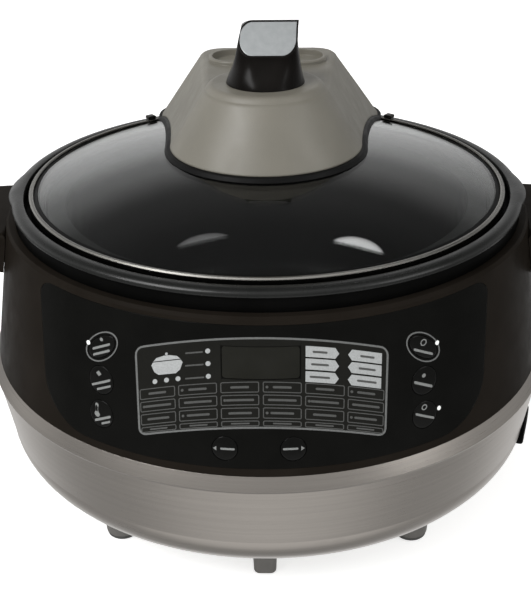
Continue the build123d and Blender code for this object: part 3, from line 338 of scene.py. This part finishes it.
# ---------------------------------------------------------------- panel surface
CONE_LOW = (0.1695, 0.0922)   # radius and height at the foot of the dark housing
CONE_HIGH = (0.1552, 0.1750)
CONE_SLOPE = (CONE_LOW[0] - CONE_HIGH[0]) / (CONE_HIGH[1] - CONE_LOW[1])
ARCH_DROP = 11.5              # mm that the printed layout falls towards its ends
ARCH_SPAN = 62.0


def cone_radius(z):
    return CONE_LOW[0] - CONE_SLOPE * (z - CONE_LOW[1])


def panel_point(x, z, lift):
    """Point on the housing cone seen from the front at (x, z), lifted along its normal."""
    radius = cone_radius(z)
    y = -math.sqrt(radius**2 - x**2)
    return Vector((x, y, z)) + lift * Vector((x, y, CONE_SLOPE * radius)).normalized()


def fall(x):
    return ARCH_DROP * (x / ARCH_SPAN) ** 2


def mesh_piece(name, bm, material, body):
    """Makes an object from bm, smooth shaded, riding on a body."""
    mesh = bpy.data.meshes.new(name)
    bmesh.ops.recalc_face_normals(bm, faces=bm.faces)
    bm.to_mesh(mesh)
    bm.free()
    mesh.materials.append(material)
    obj = bpy.data.objects.new(name, mesh)
    scene.collection.objects.link(obj)
    mesh.shade_smooth()
    mesh.set_sharp_from_angle(angle=math.radians(40))
    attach(obj, body)
    return obj


class Print:
    """Flat printed shapes in millimetres, wrapped onto a surface as a thin raised film."""

    def __init__(self):
        self.bm = bmesh.new()

    def patch(self, points):
        self.bm.faces.new([self.bm.verts.new((x, 0, h)) for x, h in points])

    def band(self, outer, inner):
        """Closed ring between two outlines with the same number of points."""
        rings = [[self.bm.verts.new((x, 0, h)) for x, h in line] for line in (outer, inner)]
        count = len(outer)
        for i in range(count):
            j = (i + 1) % count
            self.bm.faces.new((rings[0][i], rings[0][j], rings[1][j], rings[1][i]))

    def frame(self, x0, x1, h0, h1, corner, stroke):
        self.band(rounded(x0, x1, h0, h1, corner),
                  rounded(x0 + stroke, x1 - stroke, h0 + stroke, h1 - stroke,
                          max(corner - stroke, 0.1)))

    def bar(self, x0, x1, h, thick):
        self.patch(rounded(x0, x1, h - thick / 2, h + thick / 2, thick * 0.45))

    def dot(self, x, h, radius):
        self.patch(oval(x, h, radius, radius))

    def finish(self, name, material, body, wrap, film=0.05, step=2.5):
        """Cuts the shapes finely, gives them thickness and maps them with wrap(x, h, lift)."""
        bm = self.bm
        bmesh.ops.triangulate(bm, faces=bm.faces)
        xs = [v.co.x for v in bm.verts]
        cut = math.ceil(min(xs) / step) * step
        while cut < max(xs):
            geometry = bm.verts[:] + bm.edges[:] + bm.faces[:]
            bmesh.ops.bisect_plane(bm, geom=geometry, plane_co=(cut, 0, 0), plane_no=(1, 0, 0))
            cut += step
        for v in bm.verts:
            v.co.y = -0.03
        grown = bmesh.ops.extrude_face_region(bm, geom=bm.faces[:])
        for v in grown["geom"]:
            if isinstance(v, bmesh.types.BMVert):
                v.co.y = film
        for v in bm.verts:
            v.co = wrap(v.co.x, v.co.z, v.co.y)
        return mesh_piece(name, bm, material, body)


def oval(x, h, rx, rh, count=28, shear=0.0):
    points = []
    for i in range(count):
        a = 2 * math.pi * i / count
        dx = rx * math.cos(a)
        points.append((x + dx, h + rh * math.sin(a) + shear * dx))
    return points


def rounded(x0, x1, h0, h1, corner, steps=5):
    """Outline of a rectangle with round corners, from its lower right corner."""
    points = []
    centres = ((x1 - corner, h0 + corner, -90), (x1 - corner, h1 - corner, 0),
               (x0 + corner, h1 - corner, 90), (x0 + corner, h0 + corner, 180))
    for cx, ch, start in centres:
        for i in range(steps + 1):
            a = math.radians(start + 90 * i / steps)
            points.append((cx + corner * math.cos(a), ch + corner * math.sin(a)))
    return points


def arched(x, h, lift):
    """Layout position to the housing surface, with the layout's arch."""
    return panel_point(x * MM, (h - fall(x)) * MM, lift * MM)


def flat_on_panel(x, h, lift):
    """Front position in millimetres to the housing surface, with no arch."""
    return panel_point(x * MM, h * MM, lift * MM)


# ---------------------------------------------------------------- display graphics
WINDOW = (-19.0, 19.0, 144.0, 160.4)
FRAME_LEFT, FRAME_RIGHT, FRAME_LOW, FRAME_HIGH = -62.6, 62.6, 118.3, 165.4

FIELD_INSET = 0.9             # mm from the outline to the shaded field inside it
SIDE_GAP = 0.4                # mm from the window to the field beside it
END_GAP = 0.3                 # mm from the window to the field above and below it
OVERLAP = 0.35                # mm that the strips over the window reach past its sides
STRIP_STEPS = 16

field = Print()
field_low, field_high = FRAME_LOW + FIELD_INSET, FRAME_HIGH - FIELD_INSET
for x0, x1 in ((FRAME_LEFT + FIELD_INSET, WINDOW[0] - SIDE_GAP),
               (WINDOW[1] + SIDE_GAP, FRAME_RIGHT - FIELD_INSET)):
    field.patch(rounded(x0, x1, field_low, field_high, 0.8))
for edge_z, far_h in ((WINDOW[3] + END_GAP, field_high), (WINDOW[2] - END_GAP, field_low)):
    xs = [WINDOW[0] - OVERLAP + (WINDOW[1] - WINDOW[0] + 2 * OVERLAP) * i / STRIP_STEPS
          for i in range(STRIP_STEPS + 1)]
    near = [(x, edge_z + fall(x)) for x in xs]
    far = [(x, far_h) for x in reversed(xs)]
    field.patch(near + far)
field.finish("panel_field", FIELD, "base", arched, film=0.02)

outline = Print()
outline.frame(FRAME_LEFT, FRAME_RIGHT, FRAME_LOW, FRAME_HIGH, 4.2, 1.0)
outline.finish("display_outline", PRINT_MID, "base", arched)

COLUMNS = ((-61.0, -42.5), (-40.9, -21.5), (-19.8, -0.9), (0.9, 19.8), (21.5, 40.9), (42.5, 61.0))
ROWS = ((137.3, 142.9), (130.7, 136.2), (123.7, 129.5), (119.6, 122.6))
GRID_CORNER, GRID_STROKE = 0.9, 0.45
WORD_THICK, SMALL_WORD_THICK = 1.2, 0.8
DOT_RADIUS = 1.25

grid = Print()
for column, (x0, x1) in enumerate(COLUMNS):
    for row, (h0, h1) in enumerate(ROWS):
        grid.frame(x0, x1, h0, h1, GRID_CORNER, GRID_STROKE)
        middle = (h0 + h1) / 2
        centre = (x0 + x1) / 2
        reach = 4.6 + 1.2 * ((3 * column + 2 * row) % 3)
        last_row = row == len(ROWS) - 1
        grid.bar(centre - reach, centre + reach, middle,
                 SMALL_WORD_THICK if last_row else WORD_THICK)
        if not last_row and (column + row) % 2:
            grid.dot(x0 + 2.0, middle, 0.7)
grid.finish("programme_grid", PRINT_DIM, "base", arched)

TAG_ROWS = ((156.2, 161.7), (149.8, 155.4), (143.4, 148.9))
tags = Print()
tag_bars = Print()
for row, (h0, h1) in enumerate(TAG_ROWS):
    middle = (h0 + h1) / 2
    tags.patch([(21.6, h0), (36.0, h0), (37.9, middle), (36.0, h1), (21.6, h1)])
    tags.patch([(59.2, h0), (59.2, h1), (44.2, h1), (42.3, middle), (44.2, h0)])
    reach = 3.6 + 0.7 * row
    tag_bars.bar(28.6 - reach, 28.6 + reach, middle, 1.1)
    tag_bars.bar(51.9 - reach, 51.9 + reach, middle, 1.1)
tags.finish("mode_tags", PRINT_LIGHT, "base", arched)
tag_bars.finish("mode_tag_bars", PRINT_DIM, "base", arched, film=0.09)

marks = Print()
for x, h in ((-52.7, 146.1), (-46.7, 146.2), (-40.8, 146.3)):
    marks.dot(x, h, DOT_RADIUS)
for h in (159.3, 152.9, 146.4):
    marks.dot(-25.6, h, DOT_RADIUS)
marks.finish("display_dots", PRINT_LIGHT, "base", arched)
hints = Print()
for h, reach in ((159.0, 4.4), (152.6, 4.6), (146.0, 4.8)):
    hints.bar(-32.4 - reach, -32.4 + reach, h, SMALL_WORD_THICK)
hints.finish("display_hints", PRINT_DIM, "base", arched)

icon = Print()
icon.patch([(-54.2, 154.6), (-52.8, 151.0), (-50.6, 149.3), (-41.8, 149.3), (-39.6, 151.0),
            (-38.2, 154.6), (-39.0, 156.0), (-53.4, 156.0)])
icon.patch([(-53.2, 156.5), (-39.2, 156.5), (-41.0, 158.1), (-44.8, 158.9), (-47.6, 158.9),
            (-51.4, 158.1)])
icon.dot(-46.2, 159.7, 0.7)
icon.finish("pot_icon", PRINT_LIGHT, "base", arched)

# ---------------------------------------------------------------- keys
# centre (x, z), two half-axes and tilt in degrees of each cap, in millimetres
KEYS = {
    "key_cancel": (-80.7, 149.0, 9.55, 4.96, 38.4),
    "key_time": (-82.0, 131.0, 7.6, 7.6, 0),
    "key_temperature": (-83.0, 112.5, 7.4, 7.4, 0),
    "key_start": (80.7, 149.0, 9.55, 4.96, -38.4),
    "key_menu": (82.0, 131.0, 7.6, 7.6, 0),
    "key_hold": (83.0, 112.5, 7.4, 7.4, 0),
    "key_minus": (-18.3, 107.0, 6.4, 6.4, 0),
    "key_plus": (15.8, 107.0, 6.4, 6.4, 0),
}
CAP_PROUD = 0.1
CAP_CROWN = 0.35
CAP_DEPTH = 2.2
STEM_RADIUS = 2.4
STEM_END = 9.0
STEM = None
CAP_SIDES = 48
EDGE_SHARE, EDGE_DROP = 0.955, -0.12   # where the crown ends and how far its rim falls
LABEL_SLOPE = 0.53            # the labels on the side keys lean with the layout
SIDE_KEY_X = 40.0             # mm from the middle, past which a key is a side key
RING_STROKE = 0.55


def key_axes(name):
    """Origin, tangent, upward and outward axes of a key's own plane, in metres."""
    x, z = KEYS[name][0] * MM, KEYS[name][1] * MM
    origin = panel_point(x, z, 0.0)
    outward = (panel_point(x, z, 1.0) - origin).normalized()
    tangent = Vector((-origin.y, origin.x, 0.0)).normalized()
    return origin, tangent, outward.cross(tangent), outward


def cap_height(name, u, v):
    """Height of a cap's crowned face over its plane at (u, v), in millimetres."""
    long, short, tilt = KEYS[name][2:]
    a = math.radians(tilt)
    along = u * math.cos(a) + v * math.sin(a)
    across = v * math.cos(a) - u * math.sin(a)
    return CAP_PROUD + CAP_CROWN * (1 - (along / long) ** 2 - (across / short) ** 2)


def on_cap(name):
    """Wrap for Print: offsets from the key's centre, seen from the front, to its crowned face."""
    origin, tangent, upward, outward = key_axes(name)

    def wrap(dx, dz, lift):
        v = dz / upward.z
        u = (dx - v * upward.x) / tangent.x
        height = cap_height(name, u, v) + lift
        return origin + (tangent * u + upward * v + outward * height) * MM

    return wrap


def cap_piece(name):
    """Crowned key cap with its skirt and stem, in place of the flat CAD key."""
    long, short, tilt = KEYS[name][2:]
    origin, tangent, upward, outward = key_axes(name)
    a = math.radians(tilt)
    # shares of the cap's outline with heights; None is the crown, and STEM the round stem
    profile = [(t / 10, None) for t in range(1, 10)]
    profile += [(EDGE_SHARE, None), (1.0, EDGE_DROP), (1.0, -CAP_DEPTH),
                (STEM, -CAP_DEPTH), (STEM, -STEM_END)]
    bm = bmesh.new()
    rings = []
    for share, drop in profile:
        line = []
        for i in range(CAP_SIDES):
            angle = 2 * math.pi * i / CAP_SIDES
            if share is STEM:
                along, across = STEM_RADIUS * math.cos(angle), STEM_RADIUS * math.sin(angle)
            else:
                along, across = share * long * math.cos(angle), share * short * math.sin(angle)
            u = along * math.cos(a) - across * math.sin(a)
            v = along * math.sin(a) + across * math.cos(a)
            height = cap_height(name, u, v) if drop is None else drop
            line.append(bm.verts.new(origin + (tangent * u + upward * v + outward * height) * MM))
        rings.append(line)
    top = bm.verts.new(origin + outward * (cap_height(name, 0, 0) * MM))
    for i in range(CAP_SIDES):
        j = (i + 1) % CAP_SIDES
        bm.faces.new((top, rings[0][i], rings[0][j]))
        for inner, outer in zip(rings, rings[1:]):
            bm.faces.new((inner[i], outer[i], outer[j], inner[j]))
    bm.faces.new(rings[-1])
    cap = mesh_piece(name + "_cap", bm, LOOKS["key_gloss"], name)
    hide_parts(name)


def leaning(x0, x1, h, thick, slope):
    """Bar whose ends follow the label slope."""
    outline_points = rounded(x0, x1, h - thick / 2, h + thick / 2, thick * 0.4)
    return [(x, y + slope * x) for x, y in outline_points]


def label(name, bars=(), dots=(), shapes=(), rings=()):
    """Icon and bars printed on a cap, placed from its centre in millimetres."""
    x = KEYS[name][0]
    slope = 0.0 if abs(x) < SIDE_KEY_X else -math.copysign(LABEL_SLOPE, x)
    art = Print()
    for x0, x1, h, thick in bars:
        art.patch(leaning(x0, x1, h, thick, slope))
    for dx, h, radius in dots:
        art.dot(dx, h, radius)
    for points in shapes:
        art.patch(list(points))
    for dx, h, radius in rings:
        inner = radius - RING_STROKE
        art.band(oval(dx, h, radius, radius), oval(dx, h, inner, inner))
    art.finish(name + "_label", PRINT_LABEL, name, on_cap(name), film=0.04, step=1.6)


for name in KEYS:
    cap_piece(name)
label("key_cancel", bars=((-5.0, 5.0, 0.2, 1.3), (-5.0, 4.6, -3.0, 1.3)), dots=((0.3, 3.9, 0.9),))
label("key_time", bars=((-5.4, 5.4, -1.2, 1.3), (-2.6, 5.4, -4.3, 1.2)),
      shapes=(((-0.9, 1.9), (0.6, 3.4), (-0.9, 4.9), (-2.4, 3.4)),))
label("key_temperature", bars=((-3.8, 5.4, -2.6, 1.4), (0.0, 5.0, -5.2, 1.2)),
      shapes=(rounded(-3.0, -1.2, -1.0, 5.4, 0.85),), dots=((-2.1, -0.6, 1.5),))
label("key_start", bars=((-5.2, 5.2, -2.4, 1.3),), rings=((-0.2, 2.5, 1.7),))
label("key_menu", bars=((-5.6, 4.4, -2.0, 1.5),), dots=((-0.6, 3.0, 1.0),))
label("key_hold", bars=((-5.2, 5.2, -0.7, 1.3),), rings=((-0.6, 4.3, 1.5),))
label("key_minus", bars=((-2.2, 5.0, 0.0, 1.1),),
      shapes=(((-5.9, 0.0), (-4.2, 1.2), (-4.2, -1.2)),))
label("key_plus", bars=((-5.2, 2.4, 0.3, 1.1),), shapes=(((5.6, 0.3), (3.9, -0.9), (3.9, 1.5)),))

HALO_SIDES = 56
for name in ("key_cancel", "key_start"):
    x, z = KEYS[name][:2]
    slope = -math.copysign(LABEL_SLOPE, x)
    halo = Print()
    halo.band(oval(x, z, 9.2, 7.6, HALO_SIDES, slope), oval(x, z, 8.5, 6.9, HALO_SIDES, slope))
    halo.finish(name + "_halo", PRINT_MID, "base", flat_on_panel)

# ---------------------------------------------------------------- dark edge of the glass
GLASS_RIM = 0.141
DOME_TOP = 0.2105
DOME_EDGE = 0.1862
BAND_INNER, BAND_OUTER = 0.1358, 0.1383
BAND_LIFT, BAND_THICK = 0.00005, 0.0001
RING_SIDES = 240
DOME_CURVE = (GLASS_RIM**2 + (DOME_TOP - DOME_EDGE) ** 2) / (2 * (DOME_TOP - DOME_EDGE))


def annulus(name, inner, outer, lift, thick, material, body):
    """Thin ring printed on the dome between two radii."""
    bm = bmesh.new()
    corners = ((inner, lift), (inner, lift + thick), (outer, lift + thick), (outer, lift))
    rings = []
    for radius, rise in corners:
        height = DOME_TOP - DOME_CURVE + math.sqrt(DOME_CURVE**2 - radius**2) + rise
        rings.append([bm.verts.new((radius * math.cos(2 * math.pi * i / RING_SIDES),
                                    radius * math.sin(2 * math.pi * i / RING_SIDES), height))
                      for i in range(RING_SIDES)])
    for i in range(RING_SIDES):
        j = (i + 1) % RING_SIDES
        for near, far in zip(rings, rings[1:] + rings[:1]):
            bm.faces.new((near[i], near[j], far[j], far[i]))
    return mesh_piece(name, bm, material, body)


annulus("glass_edge_band", BAND_INNER, BAND_OUTER, BAND_LIFT, BAND_THICK,
        LOOKS["silicone_seal"], "lid")

# ---------------------------------------------------------------- rounded collar
COLLAR_INNER = 144.0
COLLAR_CREST = 147.0
COLLAR_OUTER = 151.2
COLLAR_LOW = 183.45
COLLAR_TOP = 187.0
COLLAR_FOOT = 0.6             # mm that the outer edge stands straight
COLLAR_SIDES, FALL_STEPS = 360, 10
EAR_HALF_X, EAR_HALF_Y, EAR_CENTRE_Y = 153.4, 100.0, -8.0
EAR_LIMIT = 160.0             # mm, wider than the collar reaches anywhere
HALVINGS = 24


def collar_reach(angle):
    """Outside radius of the collar, which swells a little beside the handles."""
    low, high = COLLAR_OUTER, EAR_LIMIT
    for _ in range(HALVINGS):
        middle = (low + high) / 2
        x, y = middle * math.cos(angle), middle * math.sin(angle) - EAR_CENTRE_Y
        inside = (x / EAR_HALF_X) ** 2 + (y / EAR_HALF_Y) ** 2 < 1
        low, high = (middle, high) if inside else (low, middle)
    return low


def collar_piece():
    """Collar with a crest near its inner edge and a long rounded fall outwards."""
    bm = bmesh.new()
    columns = []
    for i in range(COLLAR_SIDES):
        angle = 2 * math.pi * i / COLLAR_SIDES
        outer = collar_reach(angle)
        profile = [(COLLAR_INNER, COLLAR_LOW), (COLLAR_INNER, COLLAR_TOP - 0.7),
                   (COLLAR_INNER + 0.25, COLLAR_TOP - 0.2), (COLLAR_INNER + 0.8, COLLAR_TOP)]
        for step in range(FALL_STEPS + 1):
            turn = math.pi / 2 * step / FALL_STEPS
            drop = (COLLAR_TOP - COLLAR_LOW - COLLAR_FOOT) * math.cos(turn)
            profile.append((COLLAR_CREST + (outer - COLLAR_CREST) * math.sin(turn),
                            COLLAR_LOW + COLLAR_FOOT + drop))
        profile.append((outer, COLLAR_LOW))
        columns.append([bm.verts.new((r * MM * math.cos(angle), r * MM * math.sin(angle), z * MM))
                        for r, z in profile])
    for i in range(COLLAR_SIDES):
        here, there = columns[i], columns[(i + 1) % COLLAR_SIDES]
        for k in range(len(here)):
            m = (k + 1) % len(here)
            bm.faces.new((here[k], there[k], there[m], here[m]))
    collar = mesh_piece("collar_moulding", bm, LOOKS["grey_collar"], "base")
    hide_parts("collar_ring")


collar_piece()

# ---------------------------------------------------------------- spring under the pot sensor
SPRING_WIRE = 0.0008
SPRING_TURNS = 4
STEPS_PER_TURN = 40
WIRE_SIDES = 12


def spring_piece():
    """Coil in place of the CAD spring, fixed at full length on the base; the real spring shortens
    as the sensor goes down.
    """
    low, high = (Vector(corner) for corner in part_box("sensor_spring"))
    radius = (high.x - low.x) / 2 - SPRING_WIRE
    height = high.z - low.z - 2 * SPRING_WIRE
    steps = SPRING_TURNS * STEPS_PER_TURN
    bm = bmesh.new()
    rings = []
    for i in range(steps + 1):
        angle = 2 * math.pi * SPRING_TURNS * i / steps
        outward = Vector((math.cos(angle), math.sin(angle), 0.0))
        centre = outward * radius
        centre.z = low.z + SPRING_WIRE + height * i / steps
        rings.append([])
        for k in range(WIRE_SIDES):
            turn = 2 * math.pi * k / WIRE_SIDES
            offset = outward * math.cos(turn) + Vector((0.0, 0.0, math.sin(turn)))
            rings[-1].append(bm.verts.new(centre + offset * SPRING_WIRE))
    for near, far in zip(rings, rings[1:]):
        for k in range(WIRE_SIDES):
            m = (k + 1) % WIRE_SIDES
            bm.faces.new((near[k], near[m], far[m], far[k]))
    bm.faces.new(rings[0])
    bm.faces.new(rings[-1])
    spring = mesh_piece("sensor_coil", bm, LOOKS["spring_steel"], "base")
    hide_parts("sensor_spring")
    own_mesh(spring)


spring_piece()

# ---------------------------------------------------------------- camera and light
TARGET = Vector((-0.0015, 0.0, 0.1035))
CAMERA_PLACE = Vector((0.0136, -0.5760, 0.4044))
CAMERA_LENS = 60.62
CAMERA_SENSOR = 36.0
CAMERA_ROLL = -0.70           # degrees
camera_data = bpy.data.cameras.new("camera")
camera_data.sensor_width = CAMERA_SENSOR
camera_data.lens = CAMERA_LENS
camera = bpy.data.objects.new("camera", camera_data)
scene.collection.objects.link(camera)
camera.location = CAMERA_PLACE
aim = (TARGET - CAMERA_PLACE).to_track_quat("-Z", "Y")
camera.rotation_mode = "QUATERNION"
camera.rotation_quaternion = aim @ Quaternion((0, 0, 1), math.radians(CAMERA_ROLL))
scene.camera = camera


def softbox(name, place, aim_at, width, height, power):
    data = bpy.data.lights.new(name, "AREA")
    data.shape = "RECTANGLE"
    data.size = width
    data.size_y = height
    data.energy = power
    light = bpy.data.objects.new(name, data)
    scene.collection.objects.link(light)
    light.location = place
    light.rotation_euler = (Vector(aim_at) - Vector(place)).to_track_quat("-Z", "Y").to_euler()
    light.visible_camera = False


softbox("key_light", (-1.1, -0.9, 1.5), (0, 0, 0.15), 1.0, 1.0, 26)
softbox("fill_light", (1.4, -0.7, 1.1), (0, 0, 0.12), 0.9, 0.9, 6)

DISC_BLUR = 0.0003            # softness of a bright disc's edge, as a cosine
CUT_BLUR = 0.003              # softness of its straight cut
world = bpy.data.worlds.new("studio")
scene.world = world
world.use_nodes = True
tree = world.node_tree
background = tree.nodes["Background"]
background.inputs["Color"].default_value = (1, 1, 1, 1)
direction = tree.nodes.new("ShaderNodeTexCoord").outputs["Generated"]
split = tree.nodes.new("ShaderNodeSeparateXYZ")
tree.links.new(direction, split.inputs["Vector"])


def world_unit(value):
    """Brings a direction's -1 to 1 into 0 to 1."""
    node = tree.nodes.new("ShaderNodeMapRange")
    node.inputs["From Min"].default_value = -1.0
    node.inputs["From Max"].default_value = 1.0
    tree.links.new(value, node.inputs["Value"])
    return node.outputs["Result"]


def world_range(value, low, high, new_low, new_high):
    """Smooth step between two values."""
    node = tree.nodes.new("ShaderNodeMapRange")
    node.interpolation_type = "SMOOTHSTEP"
    for socket, number in zip(
        ("From Min", "From Max", "To Min", "To Max"), (low, high, new_low, new_high)
    ):
        node.inputs[socket].default_value = number
    tree.links.new(value, node.inputs["Value"])
    return node.outputs["Result"]


def world_math(operation, first, second):
    node = tree.nodes.new("ShaderNodeMath")
    node.operation = operation
    for socket, value in zip(node.inputs, (first, second)):
        if isinstance(value, (int, float)):
            socket.default_value = value
        else:
            tree.links.new(value, socket)
    return node.outputs["Value"]


def world_dot(axis):
    node = tree.nodes.new("ShaderNodeVectorMath")
    node.operation = "DOT_PRODUCT"
    tree.links.new(direction, node.inputs[0])
    node.inputs[1].default_value = Vector(axis).normalized()
    return node.outputs["Value"]


def world_crescent(axis, cosine, side, strength):
    """Bright disc round an axis, cut straight along the plane whose normal is side."""
    disc = world_range(world_dot(axis), cosine - DISC_BLUR, cosine + DISC_BLUR, 0.0, strength)
    half = world_range(world_dot(side), -CUT_BLUR, CUT_BLUR, 0.0, 1.0)
    return world_math("MULTIPLY", disc, half)


def world_steps(value, steps):
    """Strength read off (position, strength) steps, with position from -1 to 1."""
    node = tree.nodes.new("ShaderNodeValToRGB")
    ramp = node.color_ramp
    ramp.interpolation = "EASE"
    while len(ramp.elements) < len(steps):
        ramp.elements.new(0.5)
    for element, (position, strength) in zip(ramp.elements, steps):
        element.position = (position + 1) / 2
        element.color = (strength, strength, strength, 1)
    tree.links.new(world_unit(value), node.inputs["Fac"])
    return node.outputs["Color"]


GROUND = ((-1.0, 0.80), (-0.85, 0.95), (-0.60, 0.92), (-0.20, 0.40), (0.10, 0.45), (0.6, 1.0),
          (1.0, 1.0))
FRONT_SKY = ((-0.1, 0.22), (0.25, 0.28), (0.5, 0.55), (0.66, 0.50), (0.80, 0.75), (0.92, 0.95),
             (1.0, 0.6))
REAR_SKY = ((-0.1, 0.85), (0.25, 0.88), (0.42, 0.56), (0.62, 0.17), (0.80, 0.12), (1.0, 0.13))
depth = world_range(split.outputs["Z"], -0.60, -0.16, 1.0, 0.34)
ground = world_math("MULTIPLY", world_steps(split.outputs["Y"], GROUND), depth)
rearward = world_range(split.outputs["Y"], -0.35, 0.35, 0.0, 1.0)
front_sky = world_math("MULTIPLY", world_steps(split.outputs["Z"], FRONT_SKY),
                       world_math("SUBTRACT", 1.0, rearward))
rear_sky = world_math("MULTIPLY", world_steps(split.outputs["Z"], REAR_SKY), rearward)
rear_sky = world_math("MULTIPLY", rear_sky, world_range(split.outputs["X"], 0.0, 0.5, 1.0, 0.62))
sky = world_math("ADD", front_sky, rear_sky)
upward = world_range(split.outputs["Z"], -0.12, 0.08, 0.0, 1.0)
low_part = world_math("MULTIPLY", ground, world_math("SUBTRACT", 1.0, upward))
total = world_math("ADD", world_math("MULTIPLY", sky, upward), low_part)
CRESCENTS = (
    ((0.2108, 0.5510, 0.8074), 0.99762, (0.0966, 0.7932, -0.6012), 5.0),
    ((-0.1648, 0.5361, 0.8279), 0.99603, (-0.1624, 0.7767, -0.6085), 1.2),
)
for crescent in CRESCENTS:
    total = world_math("ADD", total, world_crescent(*crescent))
seen = tree.nodes.new("ShaderNodeLightPath").outputs["Is Camera Ray"]
total = world_math("MAXIMUM", total, seen)   # the backdrop itself is white
tree.links.new(total, background.inputs["Strength"])

FLOOR_HALF = 30.0
FLOOR_DROP = 0.0002           # keeps the floor just under the rubber pads
floor_bm = bmesh.new()
bmesh.ops.create_grid(floor_bm, x_segments=8, y_segments=8, size=FLOOR_HALF)
floor_mesh = bpy.data.meshes.new("floor")
floor_bm.to_mesh(floor_mesh)
floor_bm.free()
floor = bpy.data.objects.new("floor", floor_mesh)
scene.collection.objects.link(floor)
floor.location.z = -FLOOR_DROP
floor_look = Look("floor_pale", Roughness=0.8, Emission_Strength=0.75)
floor_tone = floor_look.blend(floor_look.noise(0.8, detail=2.0), (0.86, 0.86, 0.855),
                              (0.9, 0.9, 0.895))
floor_look.link(floor_tone, "Base Color")
floor_look.link(floor_tone, "Emission Color")
floor_mesh.materials.append(floor_look.material)
floor.visible_glossy = False

scene.view_settings.view_transform = "Standard"
